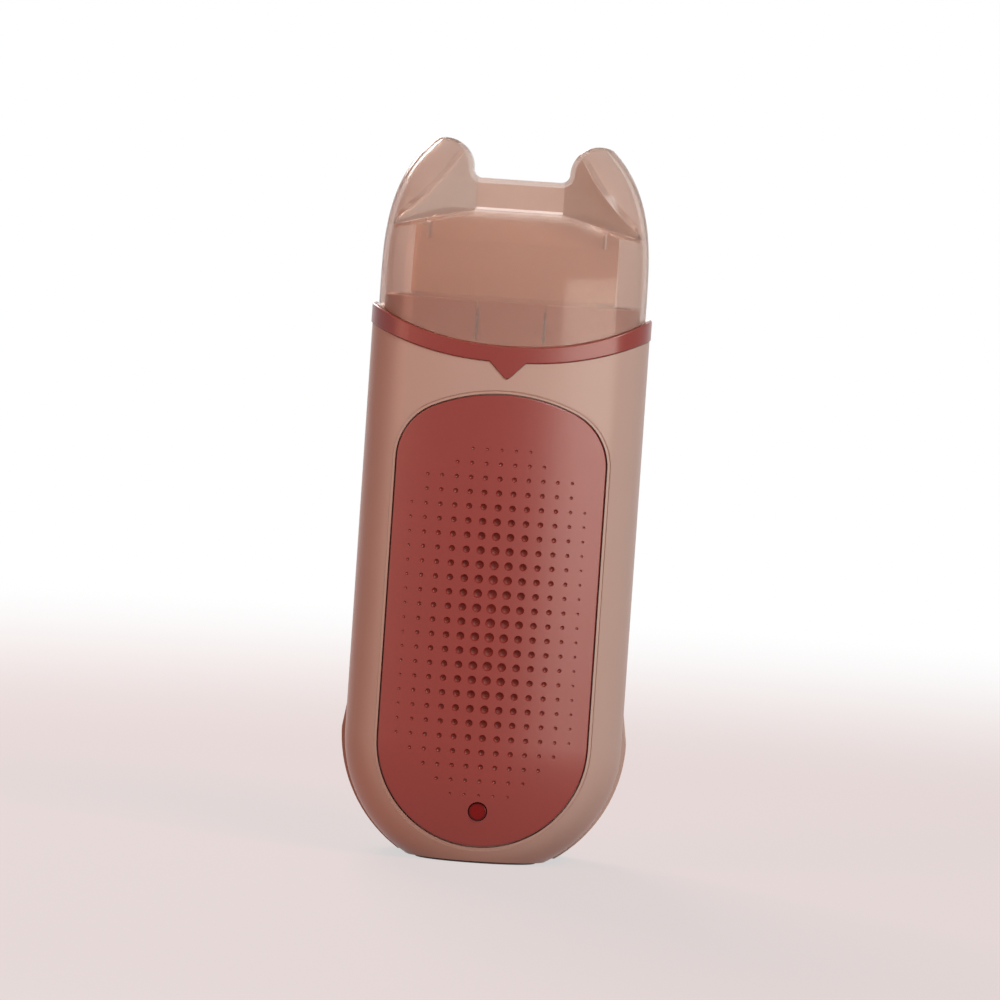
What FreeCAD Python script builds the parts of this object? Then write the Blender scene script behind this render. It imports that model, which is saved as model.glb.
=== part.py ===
import FreeCAD, Part
import math
import os

# Roll-on wax heater, in millimetres. +Z is up, the front faces -Y, and the origin is the
# centre of the base on the table. Every size that can be set by itself is written once here.

# Case
BODY_WIDTH = 70.0
CASE_HEIGHT = 126.4         # the shells' height at the middle of the front
BODY_FRONT = 26.0           # axis to the front face
BODY_REAR = 25.1            # axis to the rear face above the flare
FRONT_ARC = 85.0            # the front face's radius seen from above
REAR_ARC = 110.0
FRONT_CORNER = 14.0
REAR_CORNER = 14.0
BOTTOM_CUT = 4.2            # taken off the round bottom
BOTTOM_CENTRE = BODY_WIDTH / 2 - BOTTOM_CUT
CASE_WALL = 2.4
FORM_TOP = 1.3 * CASE_HEIGHT    # the case's outer form is drawn this high
PARTING_Y = 0.0
LIP_WIDTH = 1.0
LIP_DEPTH = 1.6
JOIN_GAP = 0.1              # between case pieces that nest
FLARE = 1.2                 # the rear shell's lower part stands this much wider
FLARE_RISE = 8.0
PARTING_ROUND = 0.25        # the shells' outer edges where they meet

RIB_X = 16.0                # the ribs under the heating chamber
RIB_THICK = 2.0
RIB_HEIGHT = 7.0
RIB_REACH = 9.0             # how near to the axis they come

# Base pad
PAD_PROUD = 0.6
PAD_SINK = 1.0
PAD_MARGIN = 1.2

# Collar: a ring whose edges dip at the front and rear, with a straight-topped spigot
BAND_DEPTH = 3.9
BAND_LOW_MID = CASE_HEIGHT
BAND_LOW_DIP = 7.4
BAND_TOP_MID = CASE_HEIGHT + BAND_DEPTH
BAND_TOP_DIP = 8.5
DIP_POWER = 2.3
BAND_PROUD = 0.3
BAND_ROUND = 0.3
SPIGOT_TOP = BAND_TOP_MID + 11.1
SPIGOT_WALL = 2.0
SPIGOT_ROUND = 0.5
SKIRT_DEPTH = 6.0
SKIRT_WALL = 1.5
DECK_TOP = SPIGOT_TOP - 2.0
DECK_THICK = 2.0
TAB_HALF = 8.4              # the two slots beside the spigot's spring tab
SLOT_WIDTH = 0.8
SLOT_FOOT = BAND_TOP_MID + 1.3
POINTER_HALF = 4.0
POINTER_TIP = BAND_LOW_MID - 4.0
POINTER_ROUND = 0.9
POINTER_DEPTH = 1.2
POINTER_ROOT = 2.0          # how far the pointer runs up into the band
EDGE_OVERRUN = 10.0         # how far a dipped edge is drawn past the case's sides
EDGE_STEPS = 9
COLLAR_BITE = 0.5           # how far the deck reaches into the ring's wall
SLOT_BITE = 1.0

# Cap
CAP_INSET = 1.35
CAP_WALL = 1.3
CAP_FIT = 0.2
CAP_SEAT = 0.3
CAP_ROUND = 0.4             # where the dome ends at the ears' tops and at the shelf
CAP_RIM_RISE = 5.3          # how far over an ear's centre its rounded top starts
CAP_RIM_LEAST = 1.05        # shorter edges stay sharp
CAP_SHOULDER = BAND_TOP_MID + 12.7      # the cap draws in above here
CAP_CROWN = BAND_TOP_MID + 59.1         # where its sides would meet
CAP_SIDE_POWER = 3.0
CAP_RIDGE = BAND_TOP_MID + 52.3         # where its front and rear would meet
CAP_FACE_POWER = 2.0
CAP_SECTIONS = 9            # ovals that the dome is drawn through
CAP_SPACING = 0.8           # under 1 sets the upper ovals closer together
CAP_HEADROOM = 0.4          # the dome's drawn height above the ears
EAR_X = BODY_WIDTH / 2 - 15.4
EAR_Z = BAND_TOP_MID + 43.9
EAR_RADIUS = 7.4
EAR_START = (0.826, 0.564)  # direction from the ear's centre where its round takes over
NOTCH_CORNER = 2.2
WEB_HALF = 11.0
WEB_Y = 7.3
SCOOP_FLARE = 0.35
SHELF_Z = BAND_TOP_MID + 33.7
SHELF_FALL = 0.25           # slope of the shelf beyond the web
EAR_FACE_X = EAR_X + 47.0   # centre of the arc that an ear's face ends at, towards the scoop
EAR_FACE_Z = EAR_Z + 33.2
EAR_FACE_RADIUS = 59.4

# Front panel
PANEL_HALF = BODY_WIDTH / 2 - 8.4
PANEL_TOP = CASE_HEIGHT - 7.8
PANEL_TOP_ARC = 43.0
PANEL_CORNER = 15.0
PANEL_THICK = 1.2
PANEL_SINK = 0.25
PANEL_GROOVE = 0.35
PANEL_ROUND = 0.3
PANEL_LEDGE = 0.8           # width of the ledge round the panel, flush with its sunk face

# Cartridge
CARTRIDGE_HALF_X = 25.65
CARTRIDGE_HALF_Y = 15.5
CARTRIDGE_CORNER = 7.0
BOTTLE_HEIGHT = 89.0
BOTTLE_WALL = 1.2
BOTTLE_TOP = DECK_TOP - 2.4
CARTRIDGE_FOOT = BOTTLE_TOP - BOTTLE_HEIGHT
BOTTLE_FOOT_ROUND = 2.0
NECK_INSET = 2.2
NECK_HEIGHT = 4.0
THROAT_HALF_X = 18.0
THROAT_HALF_Y = 6.0
WAX_GAP = 0.05
WAX_TOP = BOTTLE_TOP - 8.0
HEAD_WALL = 1.6
HEAD_SHOULDER = BOTTLE_TOP + 5.5
HEAD_TOP = BOTTLE_TOP + 19.0
HEAD_TOP_HALF_Y = 10.6
CHEEK_TOP = BOTTLE_TOP + 23.6
CHEEK_THICK = 3.2
CHEEK_ROUND = 6.0
ROLLER_RADIUS = 8.5
ROLLER_Z = BOTTLE_TOP + 16.6
ROLLER_ROUND = 0.8
ROLLER_END_GAP = 0.4
STUB_RADIUS = 1.6
STUB_FIT = 0.05
STUB_LENGTH = 2.6
STUB_END_GAP = 0.2

# Heating chamber
CHAMBER_FIT = 0.5
CHAMBER_WALL = 1.2
CHAMBER_FLOOR_GAP = 0.3
FLANGE_WIDTH = 1.0
FLANGE_THICK = 1.2
SEAT_GAP = 0.1

# Heater stack on the chamber's rear wall, from the wall outwards
PTC_SIZE = (26.0, 2.2, 34.0)
PTC_FOOT = CARTRIDGE_FOOT + 14.0
SHEET_THICK = 0.4
SHEET_MARGIN = 1.0
CLAMP_THICK = 1.0
CLAMP_EAR = 5.0
CLAMP_FIT = 0.2
CLAMP_INSET = 6.0           # the clamp is this much shorter than the element at each end
CLAMP_SCREW_RADIUS = 1.0
CLAMP_SCREW_BITE = 0.6      # into the chamber's wall
SMALL_HEAD_RADIUS = 1.9     # heads of the small screws
SMALL_HEAD_THICK = 1.0

# Thermostat on the chamber's front wall, fuse beside the heater
THERMOSTAT_RADIUS = 6.0
THERMOSTAT_THICK = 4.0
THERMOSTAT_Z = CARTRIDGE_FOOT + 36.0
TAB_X = 4.0
TAB_WIDTH = 3.0
TAB_THICK = 0.6
TAB_INSET = 2.6             # from the chamber's wall to the tabs
TAB_DROP = 5.0              # the tabs' reach below the can
CLIP_THICK = 0.5
CLIP_WIDTH = 6.0
CLIP_RISE = 1.0
CLIP_FIT = 0.2
CLIP_FOOT = 4.0
FUSE_RADIUS = 1.5
FUSE_LENGTH = 14.0
FUSE_LEAD_RADIUS = 0.4
FUSE_LEAD = 4.0
FUSE_GAP = 6.0              # from the element's top to the fuse's axis

# Circuit board and lamp
BOARD_Y = -13.6             # the board's front face
BOARD_THICK = 1.6
BOARD_HALF = 16.0
BOARD_FOOT = 8.0
BOARD_TOP = 33.0
BOARD_SCREW_X = 12.0
BOARD_SCREW_Z = 27.0
BOARD_SCREW_RADIUS = 1.0
BOARD_SCREW_GRIP = 5.0
BOARD_CORNER = 3.0
RESISTOR = (1.7, 0.0, 24.0, 9.0)    # radius, x, z, length
DIODE = (1.2, -9.5, 15.0, 5.0)
PART_LEAD_RADIUS = 0.35
PART_LEAD = 1.5             # a board part's leg past its barrel
LAMP_Z = 13.6
LENS_RADIUS = 2.35
LENS_FLANGE = 3.4
LENS_FLANGE_THICK = 0.6
LENS_ROUND = 0.4
LENS_FIT = 0.1
LED_RADIUS = 1.5
LED_BASE_RADIUS = 1.9
LED_BASE = 1.0
LED_GAP = 2.2               # between the lamp and its lens

# Power inlet, two pins in a figure-8 recess
INLET_Z = 21.0
INLET_FACE = 24.0
INLET_HALF_X = 10.0
INLET_HALF_Z = 6.0
INLET_LENGTH = 15.0
INLET_RIM = 3.0             # the thick frame that the rear shell has round it
INLET_RIM_DEPTH = 5.0
INLET_FLANGE = 2.0
INLET_FLANGE_THICK = 1.5
RECESS_RADIUS = 3.9
RECESS_X = 3.3
RECESS_WAIST = 3.2
RECESS_DEPTH = 10.0
PIN_X = 4.3
PIN_RADIUS = 1.2
PIN_ROOT_RADIUS = 1.5       # inside the inlet's body
PIN_LENGTH = 8.5
PIN_TAIL = 4.0
PIN_ROUND = 0.5
INLET_CORNER = 1.5

# Wires and case screws
WIRE_RADIUS = 0.8
SCREW_RADIUS = 1.25
SCREW_HEAD = 2.4
SCREW_HEAD_THICK = 1.6
SCREW_LENGTH = 16.0
SCREW_FIT = 0.05
SCREW_PILOT = 1.0           # a screw's hole past its tip
CROSS_HALF = 1.4
CROSS_WIDTH = 0.7
BOSS_RADIUS = 2.9
POST_GAP = 1.0              # a screw post's end to the parting line
CASE_SCREW_X = 20.0
CASE_SCREW_Z = 33.0
CASE_SCREW_SEAT = 12.0      # the y that the heads sit on
POCKET_FIT = 0.3

FAR = 300.0                 # beyond everything
THIN = 0.01
CREASE = 12.0               # faces that meet at more degrees than this have an edge to round
SIDES = (-1, 1)


def vec(x, y, z):
    return FreeCAD.Vector(x, y, z)


def line(a, b):
    return Part.LineSegment(a, b).toShape()


def arc(a, mid, b):
    return Part.Arc(a, mid, b).toShape()


def block(x0, x1, y0, y1, z0, z1):
    return Part.makeBox(x1 - x0, y1 - y0, z1 - z0, vec(x0, y0, z0))


def rod(radius, start, direction, length):
    return Part.makeCylinder(radius, length, start, direction)


def union(shapes):
    result = shapes[0]
    for shape in shapes[1:]:
        result = result.fuse(shape)
    return result.removeSplitter()


def between_y(shape, y0, y1):
    return shape.common(block(-FAR, FAR, y0, y1, -FAR, FAR))


def between_z(shape, z0, z1):
    return shape.common(block(-FAR, FAR, -FAR, FAR, z0, z1))


def crease_angle(shape, edge):
    """The angle in degrees between the two faces that meet at an edge, at its middle."""
    faces = shape.ancestorsOfType(edge, Part.Face)
    point = edge.valueAt((edge.FirstParameter + edge.LastParameter) / 2)
    normals = [face.normalAt(*face.Surface.parameter(point)) for face in faces]
    return math.degrees(normals[0].getAngle(normals[-1]))


def rounded(shape, radius, is_outer):
    """Rounds the creases whose bounding box the test accepts."""
    edges = [e for e in shape.Edges if is_outer(e.BoundBox) and crease_angle(shape, e) > CREASE]
    return shape.makeFillet(radius, edges)


# ---------------------------------------------------------------- the case's oval form

def oval_edges(half, front, rear, r_front, r_rear, c_front, c_rear, z):
    """Edges of the right half of the case's oval, from the front's middle to the rear's."""
    points = []
    for sign, depth, big, corner in ((-1, front, r_front, c_front), (1, rear, r_rear, c_rear)):
        centre_y = sign * (depth - big)
        corner_x = half - corner
        corner_y = centre_y + sign * math.sqrt((big - corner) ** 2 - corner_x ** 2)
        reach = big / (big - corner)
        meet = (corner_x * reach, centre_y + (corner_y - centre_y) * reach)
        turn = math.atan2(abs(meet[1] - corner_y), meet[0] - corner_x) / 2
        corner_mid = (corner_x + corner * math.cos(turn), corner_y + sign * corner * math.sin(turn))
        swing = math.asin(meet[0] / big) / 2
        face_mid = (big * math.sin(swing), centre_y + sign * big * math.cos(swing))
        points.append((depth * sign, face_mid, meet, corner_mid, corner_y))
    (f, f_face, f_meet, f_corner, f_side), (r, r_face, r_meet, r_corner, r_side) = points

    def at(p):
        return vec(p[0], p[1], z)
    return [
        arc(vec(0, f, z), at(f_face), at(f_meet)),
        arc(at(f_meet), at(f_corner), vec(half, f_side, z)),
        line(vec(half, f_side, z), vec(half, r_side, z)),
        arc(vec(half, r_side, z), at(r_corner), at(r_meet)),
        arc(at(r_meet), at(r_face), vec(0, r, z)),
    ]


def case_sizes(grow):
    return (BODY_WIDTH / 2 + grow, BODY_FRONT + grow, BODY_REAR + grow, FRONT_ARC + grow,
            REAR_ARC + grow, FRONT_CORNER + grow, REAR_CORNER + grow)


def whole_wire(half_edges):
    """Closes the right half of an oval with its mirror image."""
    mirrored = [e.mirror(vec(0, 0, 0), vec(1, 0, 0)) for e in half_edges]
    return Part.Wire(Part.__sortEdges__(half_edges + mirrored))


def case_prism(grow, z0, z1):
    wire = whole_wire(oval_edges(*case_sizes(grow), z0))
    return Part.Face(wire).extrude(vec(0, 0, z1 - z0))


def case_bowl(grow):
    """The round bottom: the oval's right half turned about the front-to-rear line."""
    edges = oval_edges(*case_sizes(grow), BOTTOM_CENTRE)
    front = edges[0].Vertexes[0].Point
    rear = edges[-1].Vertexes[-1].Point
    face = Part.Face(Part.Wire(edges + [line(rear, front)]))
    return face.revolve(vec(0, 0, BOTTOM_CENTRE), vec(0, 1, 0), 180)


CASE_CACHE = {}


def case_form(grow, floor=PAD_PROUD):
    """The case's outer form grown by an even distance, with a flat floor."""
    key = (grow, floor)
    if key not in CASE_CACHE:
        form = union([case_prism(grow, BOTTOM_CENTRE, FORM_TOP), case_bowl(grow)])
        CASE_CACHE[key] = form.common(block(-FAR, FAR, -FAR, FAR, floor, FAR))
    return CASE_CACHE[key]


def flared_form():
    low = whole_wire(oval_edges(*case_sizes(FLARE), BOTTOM_CENTRE))
    high = whole_wire(oval_edges(*case_sizes(0), BOTTOM_CENTRE + FLARE_RISE))
    rise = Part.makeLoft([low, high], True, True)
    flare = union([case_bowl(FLARE), rise])
    return union([case_form(0), flare.common(block(-FAR, FAR, -FAR, FAR, PAD_PROUD, FAR))])


def front_y(x, z, grow=0.0):
    """y of the case's front face at a point that lies on its large arc."""
    out = x if z >= BOTTOM_CENTRE else math.hypot(x, BOTTOM_CENTRE - z)
    return -BODY_FRONT + FRONT_ARC - math.sqrt((FRONT_ARC + grow) ** 2 - out ** 2)


def dip_region(mid_z, dip, top):
    """Everything below (top False) or above (top True) an edge that dips in the middle."""
    half = BODY_WIDTH / 2
    reach = half + EDGE_OVERRUN
    xs = [reach * i / EDGE_STEPS for i in range(-EDGE_STEPS, EDGE_STEPS + 1)]
    points = [vec(x, -FAR, mid_z + dip * (abs(x) / half) ** DIP_POWER) for x in xs]
    curve = Part.BSplineCurve()
    curve.interpolate(points)
    end_z = FAR if top else -FAR
    right, left = vec(reach, -FAR, end_z), vec(-reach, -FAR, end_z)
    wire = Part.Wire([curve.toShape(), line(points[-1], right), line(right, left),
                      line(left, points[0])])
    return Part.Face(wire).extrude(vec(0, 2 * FAR, 0))


# ---------------------------------------------------------------- outlines seen from the front

def panel_prism(shrink):
    half = PANEL_HALF - shrink
    corner = PANEL_CORNER - shrink
    top_arc = PANEL_TOP_ARC - shrink
    corner_x = PANEL_HALF - PANEL_CORNER
    arc_z = PANEL_TOP - PANEL_TOP_ARC
    corner_z = arc_z + math.sqrt((PANEL_TOP_ARC - PANEL_CORNER) ** 2 - corner_x ** 2)
    reach = top_arc / (PANEL_TOP_ARC - PANEL_CORNER)
    meet = (corner_x * reach, arc_z + (corner_z - arc_z) * reach)
    turn = math.atan2(meet[1] - corner_z, meet[0] - corner_x) / 2
    mid = (corner_x + corner * math.cos(turn), corner_z + corner * math.sin(turn))

    def at(x, z):
        return vec(x, -FAR, z)
    wire = Part.Wire([
        arc(at(-meet[0], meet[1]), at(0, PANEL_TOP - shrink), at(*meet)),
        arc(at(*meet), at(*mid), at(half, corner_z)),
        line(at(half, corner_z), at(half, BOTTOM_CENTRE)),
        arc(at(half, BOTTOM_CENTRE), at(0, BOTTOM_CENTRE - half), at(-half, BOTTOM_CENTRE)),
        line(at(-half, BOTTOM_CENTRE), at(-half, corner_z)),
        arc(at(-half, corner_z), at(-mid[0], mid[1]), at(-meet[0], meet[1])),
    ])
    return Part.Face(wire).extrude(vec(0, FAR, 0))


def pointer_prism(grow):
    """The V pointer under the collar, its tip rounded."""
    angle = math.atan2(POINTER_HALF, BAND_LOW_MID - POINTER_TIP)
    radius = POINTER_ROUND + grow
    centre_z = POINTER_TIP + POINTER_ROUND
    touch = (radius * math.cos(angle), centre_z - radius * math.sin(angle))
    top_z = BAND_LOW_MID + POINTER_ROOT
    top_x = touch[0] + (top_z - touch[1]) * math.tan(angle)

    def at(x, z):
        return vec(x, -FAR, z)
    wire = Part.Wire([
        line(at(-top_x, top_z), at(-touch[0], touch[1])),
        arc(at(-touch[0], touch[1]), at(0, centre_z - radius), at(*touch)),
        line(at(*touch), at(top_x, top_z)),
        line(at(top_x, top_z), at(-top_x, top_z)),
    ])
    return Part.Face(wire).extrude(vec(0, FAR, 0))


# ---------------------------------------------------------------- case pieces

def lip_form(gap):
    """What the shells' nesting lip fills, out to its outer face."""
    rise = CASE_WALL - LIP_WIDTH - gap
    return case_form(-rise, PAD_PROUD + rise)


def case_hollow():
    return case_form(-CASE_WALL, PAD_PROUD + CASE_WALL)


def rib(x0, x1, y0, y1, z0, z1):
    """A wall inside the case, run out into the shell it is moulded with."""
    inside = case_form(-CASE_WALL / 2, PAD_PROUD + CASE_WALL / 2)
    return block(x0, x1, y0, y1, z0, z1).common(inside)


def chamber_floor_z():
    return CARTRIDGE_FOOT - CHAMBER_FLOOR_GAP - CHAMBER_WALL


def shelf_ribs(y0, y1):
    """Two ribs that the heating chamber stands on, moulded with one shell."""
    top = chamber_floor_z() - SEAT_GAP
    return [rib(s * RIB_X - RIB_THICK / 2, s * RIB_X + RIB_THICK / 2, y0, y1,
                top - RIB_HEIGHT, top) for s in SIDES]


def rounded_at_parting(half):
    """One half of the case with the edge of its parting face rounded."""
    return rounded(half, PARTING_ROUND, lambda box: box.YLength < THIN
                   and abs(box.YMin - PARTING_Y) < THIN and box.ZMin > PAD_PROUD + THIN
                   and box.ZMin < FORM_TOP - THIN)


def front_shell():
    shell = rounded_at_parting(between_y(case_form(0), -FAR, PARTING_Y)).cut(case_hollow())
    shell = shell.cut(between_y(lip_form(JOIN_GAP), PARTING_Y - LIP_DEPTH - JOIN_GAP, FAR))
    shell = shell.cut(dip_region(BAND_LOW_MID - JOIN_GAP, BAND_LOW_DIP, True))
    skin = case_form(-CASE_WALL / 2)
    posts = []
    for s in SIDES:
        case_post = vec(s * CASE_SCREW_X, PARTING_Y - LIP_DEPTH - POST_GAP, CASE_SCREW_Z)
        board_post = vec(s * BOARD_SCREW_X, BOARD_Y, BOARD_SCREW_Z)
        posts += [rod(BOSS_RADIUS, start, vec(0, -1, 0), FAR).common(skin)
                  for start in (case_post, board_post)]
    shell = union([shell] + posts + shelf_ribs(-FAR, -RIB_REACH))
    recess = panel_prism(0).cut(case_form(-PANEL_THICK - PANEL_SINK - JOIN_GAP))
    ledge = panel_prism(-PANEL_LEDGE).cut(case_form(-PANEL_SINK))
    for pocket in (recess, ledge):
        shell = shell.cut(pocket.common(block(-FAR, FAR, -FAR, -CARTRIDGE_HALF_Y, 0, FAR)))
    shell = shell.cut(pointer_prism(JOIN_GAP).cut(case_form(-POINTER_DEPTH - JOIN_GAP)))
    holes = [rod(LENS_RADIUS + LENS_FIT, vec(0, -FAR, LAMP_Z), vec(0, 1, 0), FAR + BOARD_Y)]
    for s in SIDES:
        holes.append(rod(SCREW_RADIUS + SCREW_FIT, vec(s * CASE_SCREW_X, FAR, CASE_SCREW_Z),
                         vec(0, -1, 0), FAR - CASE_SCREW_SEAT + SCREW_LENGTH + SCREW_PILOT))
        holes.append(rod(BOARD_SCREW_RADIUS + SCREW_FIT, vec(s * BOARD_SCREW_X, 0, BOARD_SCREW_Z),
                         vec(0, -1, 0), -BOARD_Y + BOARD_SCREW_GRIP + SCREW_PILOT))
    holes.append(pad_form(JOIN_GAP))
    return shell.cut(union(holes))


def inlet_block(grow, y0, y1):
    return block(-INLET_HALF_X - grow, INLET_HALF_X + grow, y0, y1,
                 INLET_Z - INLET_HALF_Z - grow, INLET_Z + INLET_HALF_Z + grow)


def rear_shell():
    shell = rounded_at_parting(between_y(flared_form(), PARTING_Y, FAR)).cut(case_hollow())
    lip = lip_form(0).cut(case_hollow())
    shell = union([shell, between_y(lip, PARTING_Y - LIP_DEPTH, PARTING_Y + 1)])
    shell = shell.cut(dip_region(BAND_LOW_MID - JOIN_GAP, BAND_LOW_DIP, True))
    skin = case_form(-CASE_WALL / 2)
    additions = [inlet_block(INLET_RIM, INLET_FACE - INLET_RIM_DEPTH, FAR).common(skin)]
    for s in SIDES:
        post = rod(BOSS_RADIUS + SCREW_HEAD - SCREW_RADIUS,
                   vec(s * CASE_SCREW_X, PARTING_Y + POST_GAP, CASE_SCREW_Z), vec(0, 1, 0), FAR)
        additions.append(post.common(skin))
    shell = union([shell] + additions + shelf_ribs(RIB_REACH, FAR))
    cuts = [pad_form(JOIN_GAP), inlet_block(JOIN_GAP, 0, FAR)]
    for s in SIDES:
        cuts.append(rod(SCREW_RADIUS + POCKET_FIT, vec(s * CASE_SCREW_X, -FAR, CASE_SCREW_Z),
                        vec(0, 1, 0), 2 * FAR))
        cuts.append(rod(SCREW_HEAD + POCKET_FIT,
                        vec(s * CASE_SCREW_X, CASE_SCREW_SEAT, CASE_SCREW_Z), vec(0, 1, 0), FAR))
    return shell.cut(union(cuts))


def pad_form(grow):
    """The base pad's place: the case's floor outline, drawn in by the margin."""
    outline = case_form(-PAD_MARGIN + grow, PAD_PROUD - THIN)
    slab = between_z(outline, PAD_PROUD, PAD_PROUD + THIN)
    floor = min(slab.Faces, key=lambda f: f.CenterOfMass.z)
    sole = Part.Face(floor.OuterWire)
    sole.translate(vec(0, 0, -PAD_PROUD))
    return sole.extrude(vec(0, 0, PAD_PROUD + PAD_SINK + grow))


def base_pad():
    return pad_form(0)


def front_panel():
    plug = panel_prism(PANEL_GROOVE).common(case_form(-PANEL_SINK))
    plug = plug.common(block(-FAR, FAR, -FAR, -CARTRIDGE_HALF_Y, 0, FAR))
    plug = rounded(plug, PANEL_ROUND, lambda box: box.YMin < -CARTRIDGE_HALF_Y - THIN)
    plate = plug.cut(case_form(-PANEL_SINK - PANEL_THICK))
    return plate.cut(rod(LENS_RADIUS + LENS_FIT, vec(0, -FAR, LAMP_Z), vec(0, 1, 0), FAR))


# ---------------------------------------------------------------- collar and cap

def spigot_outer():
    return -(CAP_INSET + CAP_WALL + CAP_FIT)


def cartridge_section(grow, z0, z1):
    """The cartridge's rounded rectangle, grown evenly."""
    half_x, half_y = CARTRIDGE_HALF_X + grow, CARTRIDGE_HALF_Y + grow
    box = block(-half_x, half_x, -half_y, half_y, z0, z1)
    upright = [e for e in box.Edges if abs(e.tangentAt(e.FirstParameter).z) > 0.9]
    return box.makeFillet(CARTRIDGE_CORNER + grow, upright)


def collar():
    spigot = spigot_outer()
    inner = spigot - SPIGOT_WALL
    over_foot = dip_region(BAND_LOW_MID, BAND_LOW_DIP, True)
    band = case_form(BAND_PROUD).common(dip_region(BAND_TOP_MID, BAND_TOP_DIP, False))
    band = rounded(band.common(over_foot), BAND_ROUND, lambda box: True)
    neck = rounded(case_prism(spigot, 0, SPIGOT_TOP), SPIGOT_ROUND,
                   lambda box: box.ZMin > SPIGOT_TOP - THIN)
    ring = union([band, neck.common(over_foot)])
    ring = ring.cut(case_prism(inner, 0, FAR))
    skirt_outer = -CASE_WALL - JOIN_GAP
    skirt = case_prism(skirt_outer, BAND_LOW_MID - SKIRT_DEPTH, SPIGOT_TOP)
    skirt = skirt.cut(case_prism(skirt_outer - SKIRT_WALL, 0, FAR))
    web = case_prism(skirt_outer, BAND_LOW_MID, SPIGOT_TOP).cut(case_prism(inner, 0, FAR))
    nest = union([skirt, web]).common(dip_region(BAND_TOP_MID, BAND_TOP_DIP, False))
    deck = case_prism(inner + COLLAR_BITE, DECK_TOP - DECK_THICK, DECK_TOP)
    pointer = pointer_prism(0).common(case_form(BAND_PROUD)).cut(case_form(-POINTER_DEPTH))
    ring = union([ring, nest, deck, pointer])
    ring = ring.cut(cartridge_section(CHAMBER_FIT, 0, FAR))
    slots = [block(s * TAB_HALF - SLOT_WIDTH / 2, s * TAB_HALF + SLOT_WIDTH / 2, -FAR,
                   -BODY_FRONT - inner + SLOT_BITE, SLOT_FOOT, FAR) for s in SIDES]
    return ring.cut(union(slots))


def drawn_in(z, end, power):
    """How far a superellipse has closed at a height, from 1 at the shoulder to 0 at its end."""
    return math.sqrt(1 - (max(z - CAP_SHOULDER, 0.0) / (end - CAP_SHOULDER)) ** power)


def cap_section(z, wall):
    """The cap's oval at one height; a wall draws it in for the hollow."""
    side = drawn_in(z + wall, CAP_CROWN, CAP_SIDE_POWER)
    depth = drawn_in(z + wall, CAP_RIDGE, CAP_FACE_POWER)
    half = BODY_WIDTH / 2 - CAP_INSET
    front = BODY_FRONT - CAP_INSET
    squeeze = FreeCAD.Matrix()
    squeeze.scale((half * side - wall) / (half - wall), (front * depth - wall) / (front - wall), 1)
    foot = whole_wire(oval_edges(*case_sizes(-CAP_INSET - wall), 0))
    section = foot.transformGeometry(squeeze)
    section.translate(vec(0, 0, z))
    return section


def cap_dome(wall):
    foot = BAND_TOP_MID - SKIRT_DEPTH
    shoulder = CAP_SHOULDER - wall
    rise = EAR_Z + EAR_RADIUS + CAP_HEADROOM - CAP_SHOULDER
    heights = [foot, (foot + shoulder) / 2, shoulder] + [
        shoulder + rise * (i / CAP_SECTIONS) ** CAP_SPACING for i in range(1, CAP_SECTIONS + 1)]
    dome = Part.makeLoft([cap_section(z, wall) for z in heights], True, False)
    return union([between_z(dome, shoulder, FAR), case_prism(-CAP_INSET - wall, foot, shoulder)])


def ear_prism(wall):
    """The cap's outline from the front: two round ears with a notch between them."""
    radius = EAR_RADIUS - wall
    corner = NOTCH_CORNER + wall
    corner_x = EAR_X - EAR_RADIUS - NOTCH_CORNER
    diagonal = math.sqrt(0.5)
    start = (EAR_X + radius * EAR_START[0], EAR_Z + radius * EAR_START[1])
    reach = BODY_WIDTH

    def at(x, z):
        return vec(x, -FAR, z)
    right = [
        line(at(0, 0), at(reach, 0)),
        line(at(reach, 0), at(reach, start[1])),
        line(at(reach, start[1]), at(*start)),
        arc(at(*start), at(EAR_X, EAR_Z + radius), at(EAR_X - radius, EAR_Z)),
        arc(at(EAR_X - radius, EAR_Z),
            at(corner_x + corner * diagonal, EAR_Z - corner * diagonal),
            at(corner_x, EAR_Z - corner)),
        line(at(corner_x, EAR_Z - corner), at(0, EAR_Z - corner)),
    ]
    return Part.Face(whole_wire(right)).extrude(vec(0, 2 * FAR, 0))


def thumb_scoop(sign, wall):
    """The space in front of (sign -1) or behind the grip web; a wall makes it larger."""
    slant = math.hypot(1, SCOOP_FLARE)
    web_y = WEB_Y - wall
    edge_x = WEB_HALF + wall * (slant - 1) / SCOOP_FLARE
    reach = BODY_WIDTH
    flare_y = web_y + (reach - edge_x) * SCOOP_FLARE
    plan = [(-edge_x, web_y), (edge_x, web_y), (reach, flare_y), (reach, FAR), (-reach, FAR),
            (-reach, flare_y)]
    points = [vec(x, sign * y, 0) for x, y in plan]
    column = Part.Face(Part.makePolygon(points + points[:1])).extrude(vec(0, 0, FAR))
    shelf_z = SHELF_Z - wall
    fold_x = WEB_HALF + wall * (math.hypot(1, SHELF_FALL) - 1) / SHELF_FALL
    low_z = shelf_z - (reach - fold_x) * SHELF_FALL
    front = [(-reach, FAR), (-reach, low_z), (-fold_x, shelf_z), (fold_x, shelf_z),
             (reach, low_z), (reach, FAR)]
    points = [vec(x, -FAR, z) for x, z in front]
    above = Part.Face(Part.makePolygon(points + points[:1])).extrude(vec(0, 2 * FAR, 0))
    scoop = column.common(above)
    for s in SIDES:
        scoop = scoop.cut(rod(EAR_FACE_RADIUS - wall, vec(s * EAR_FACE_X, -FAR, EAR_FACE_Z),
                              vec(0, 1, 0), 2 * FAR))
    return scoop


def cap_form(wall):
    form = cap_dome(wall).common(ear_prism(wall))
    for sign in SIDES:
        form = form.cut(thumb_scoop(sign, wall))
    return form


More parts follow.
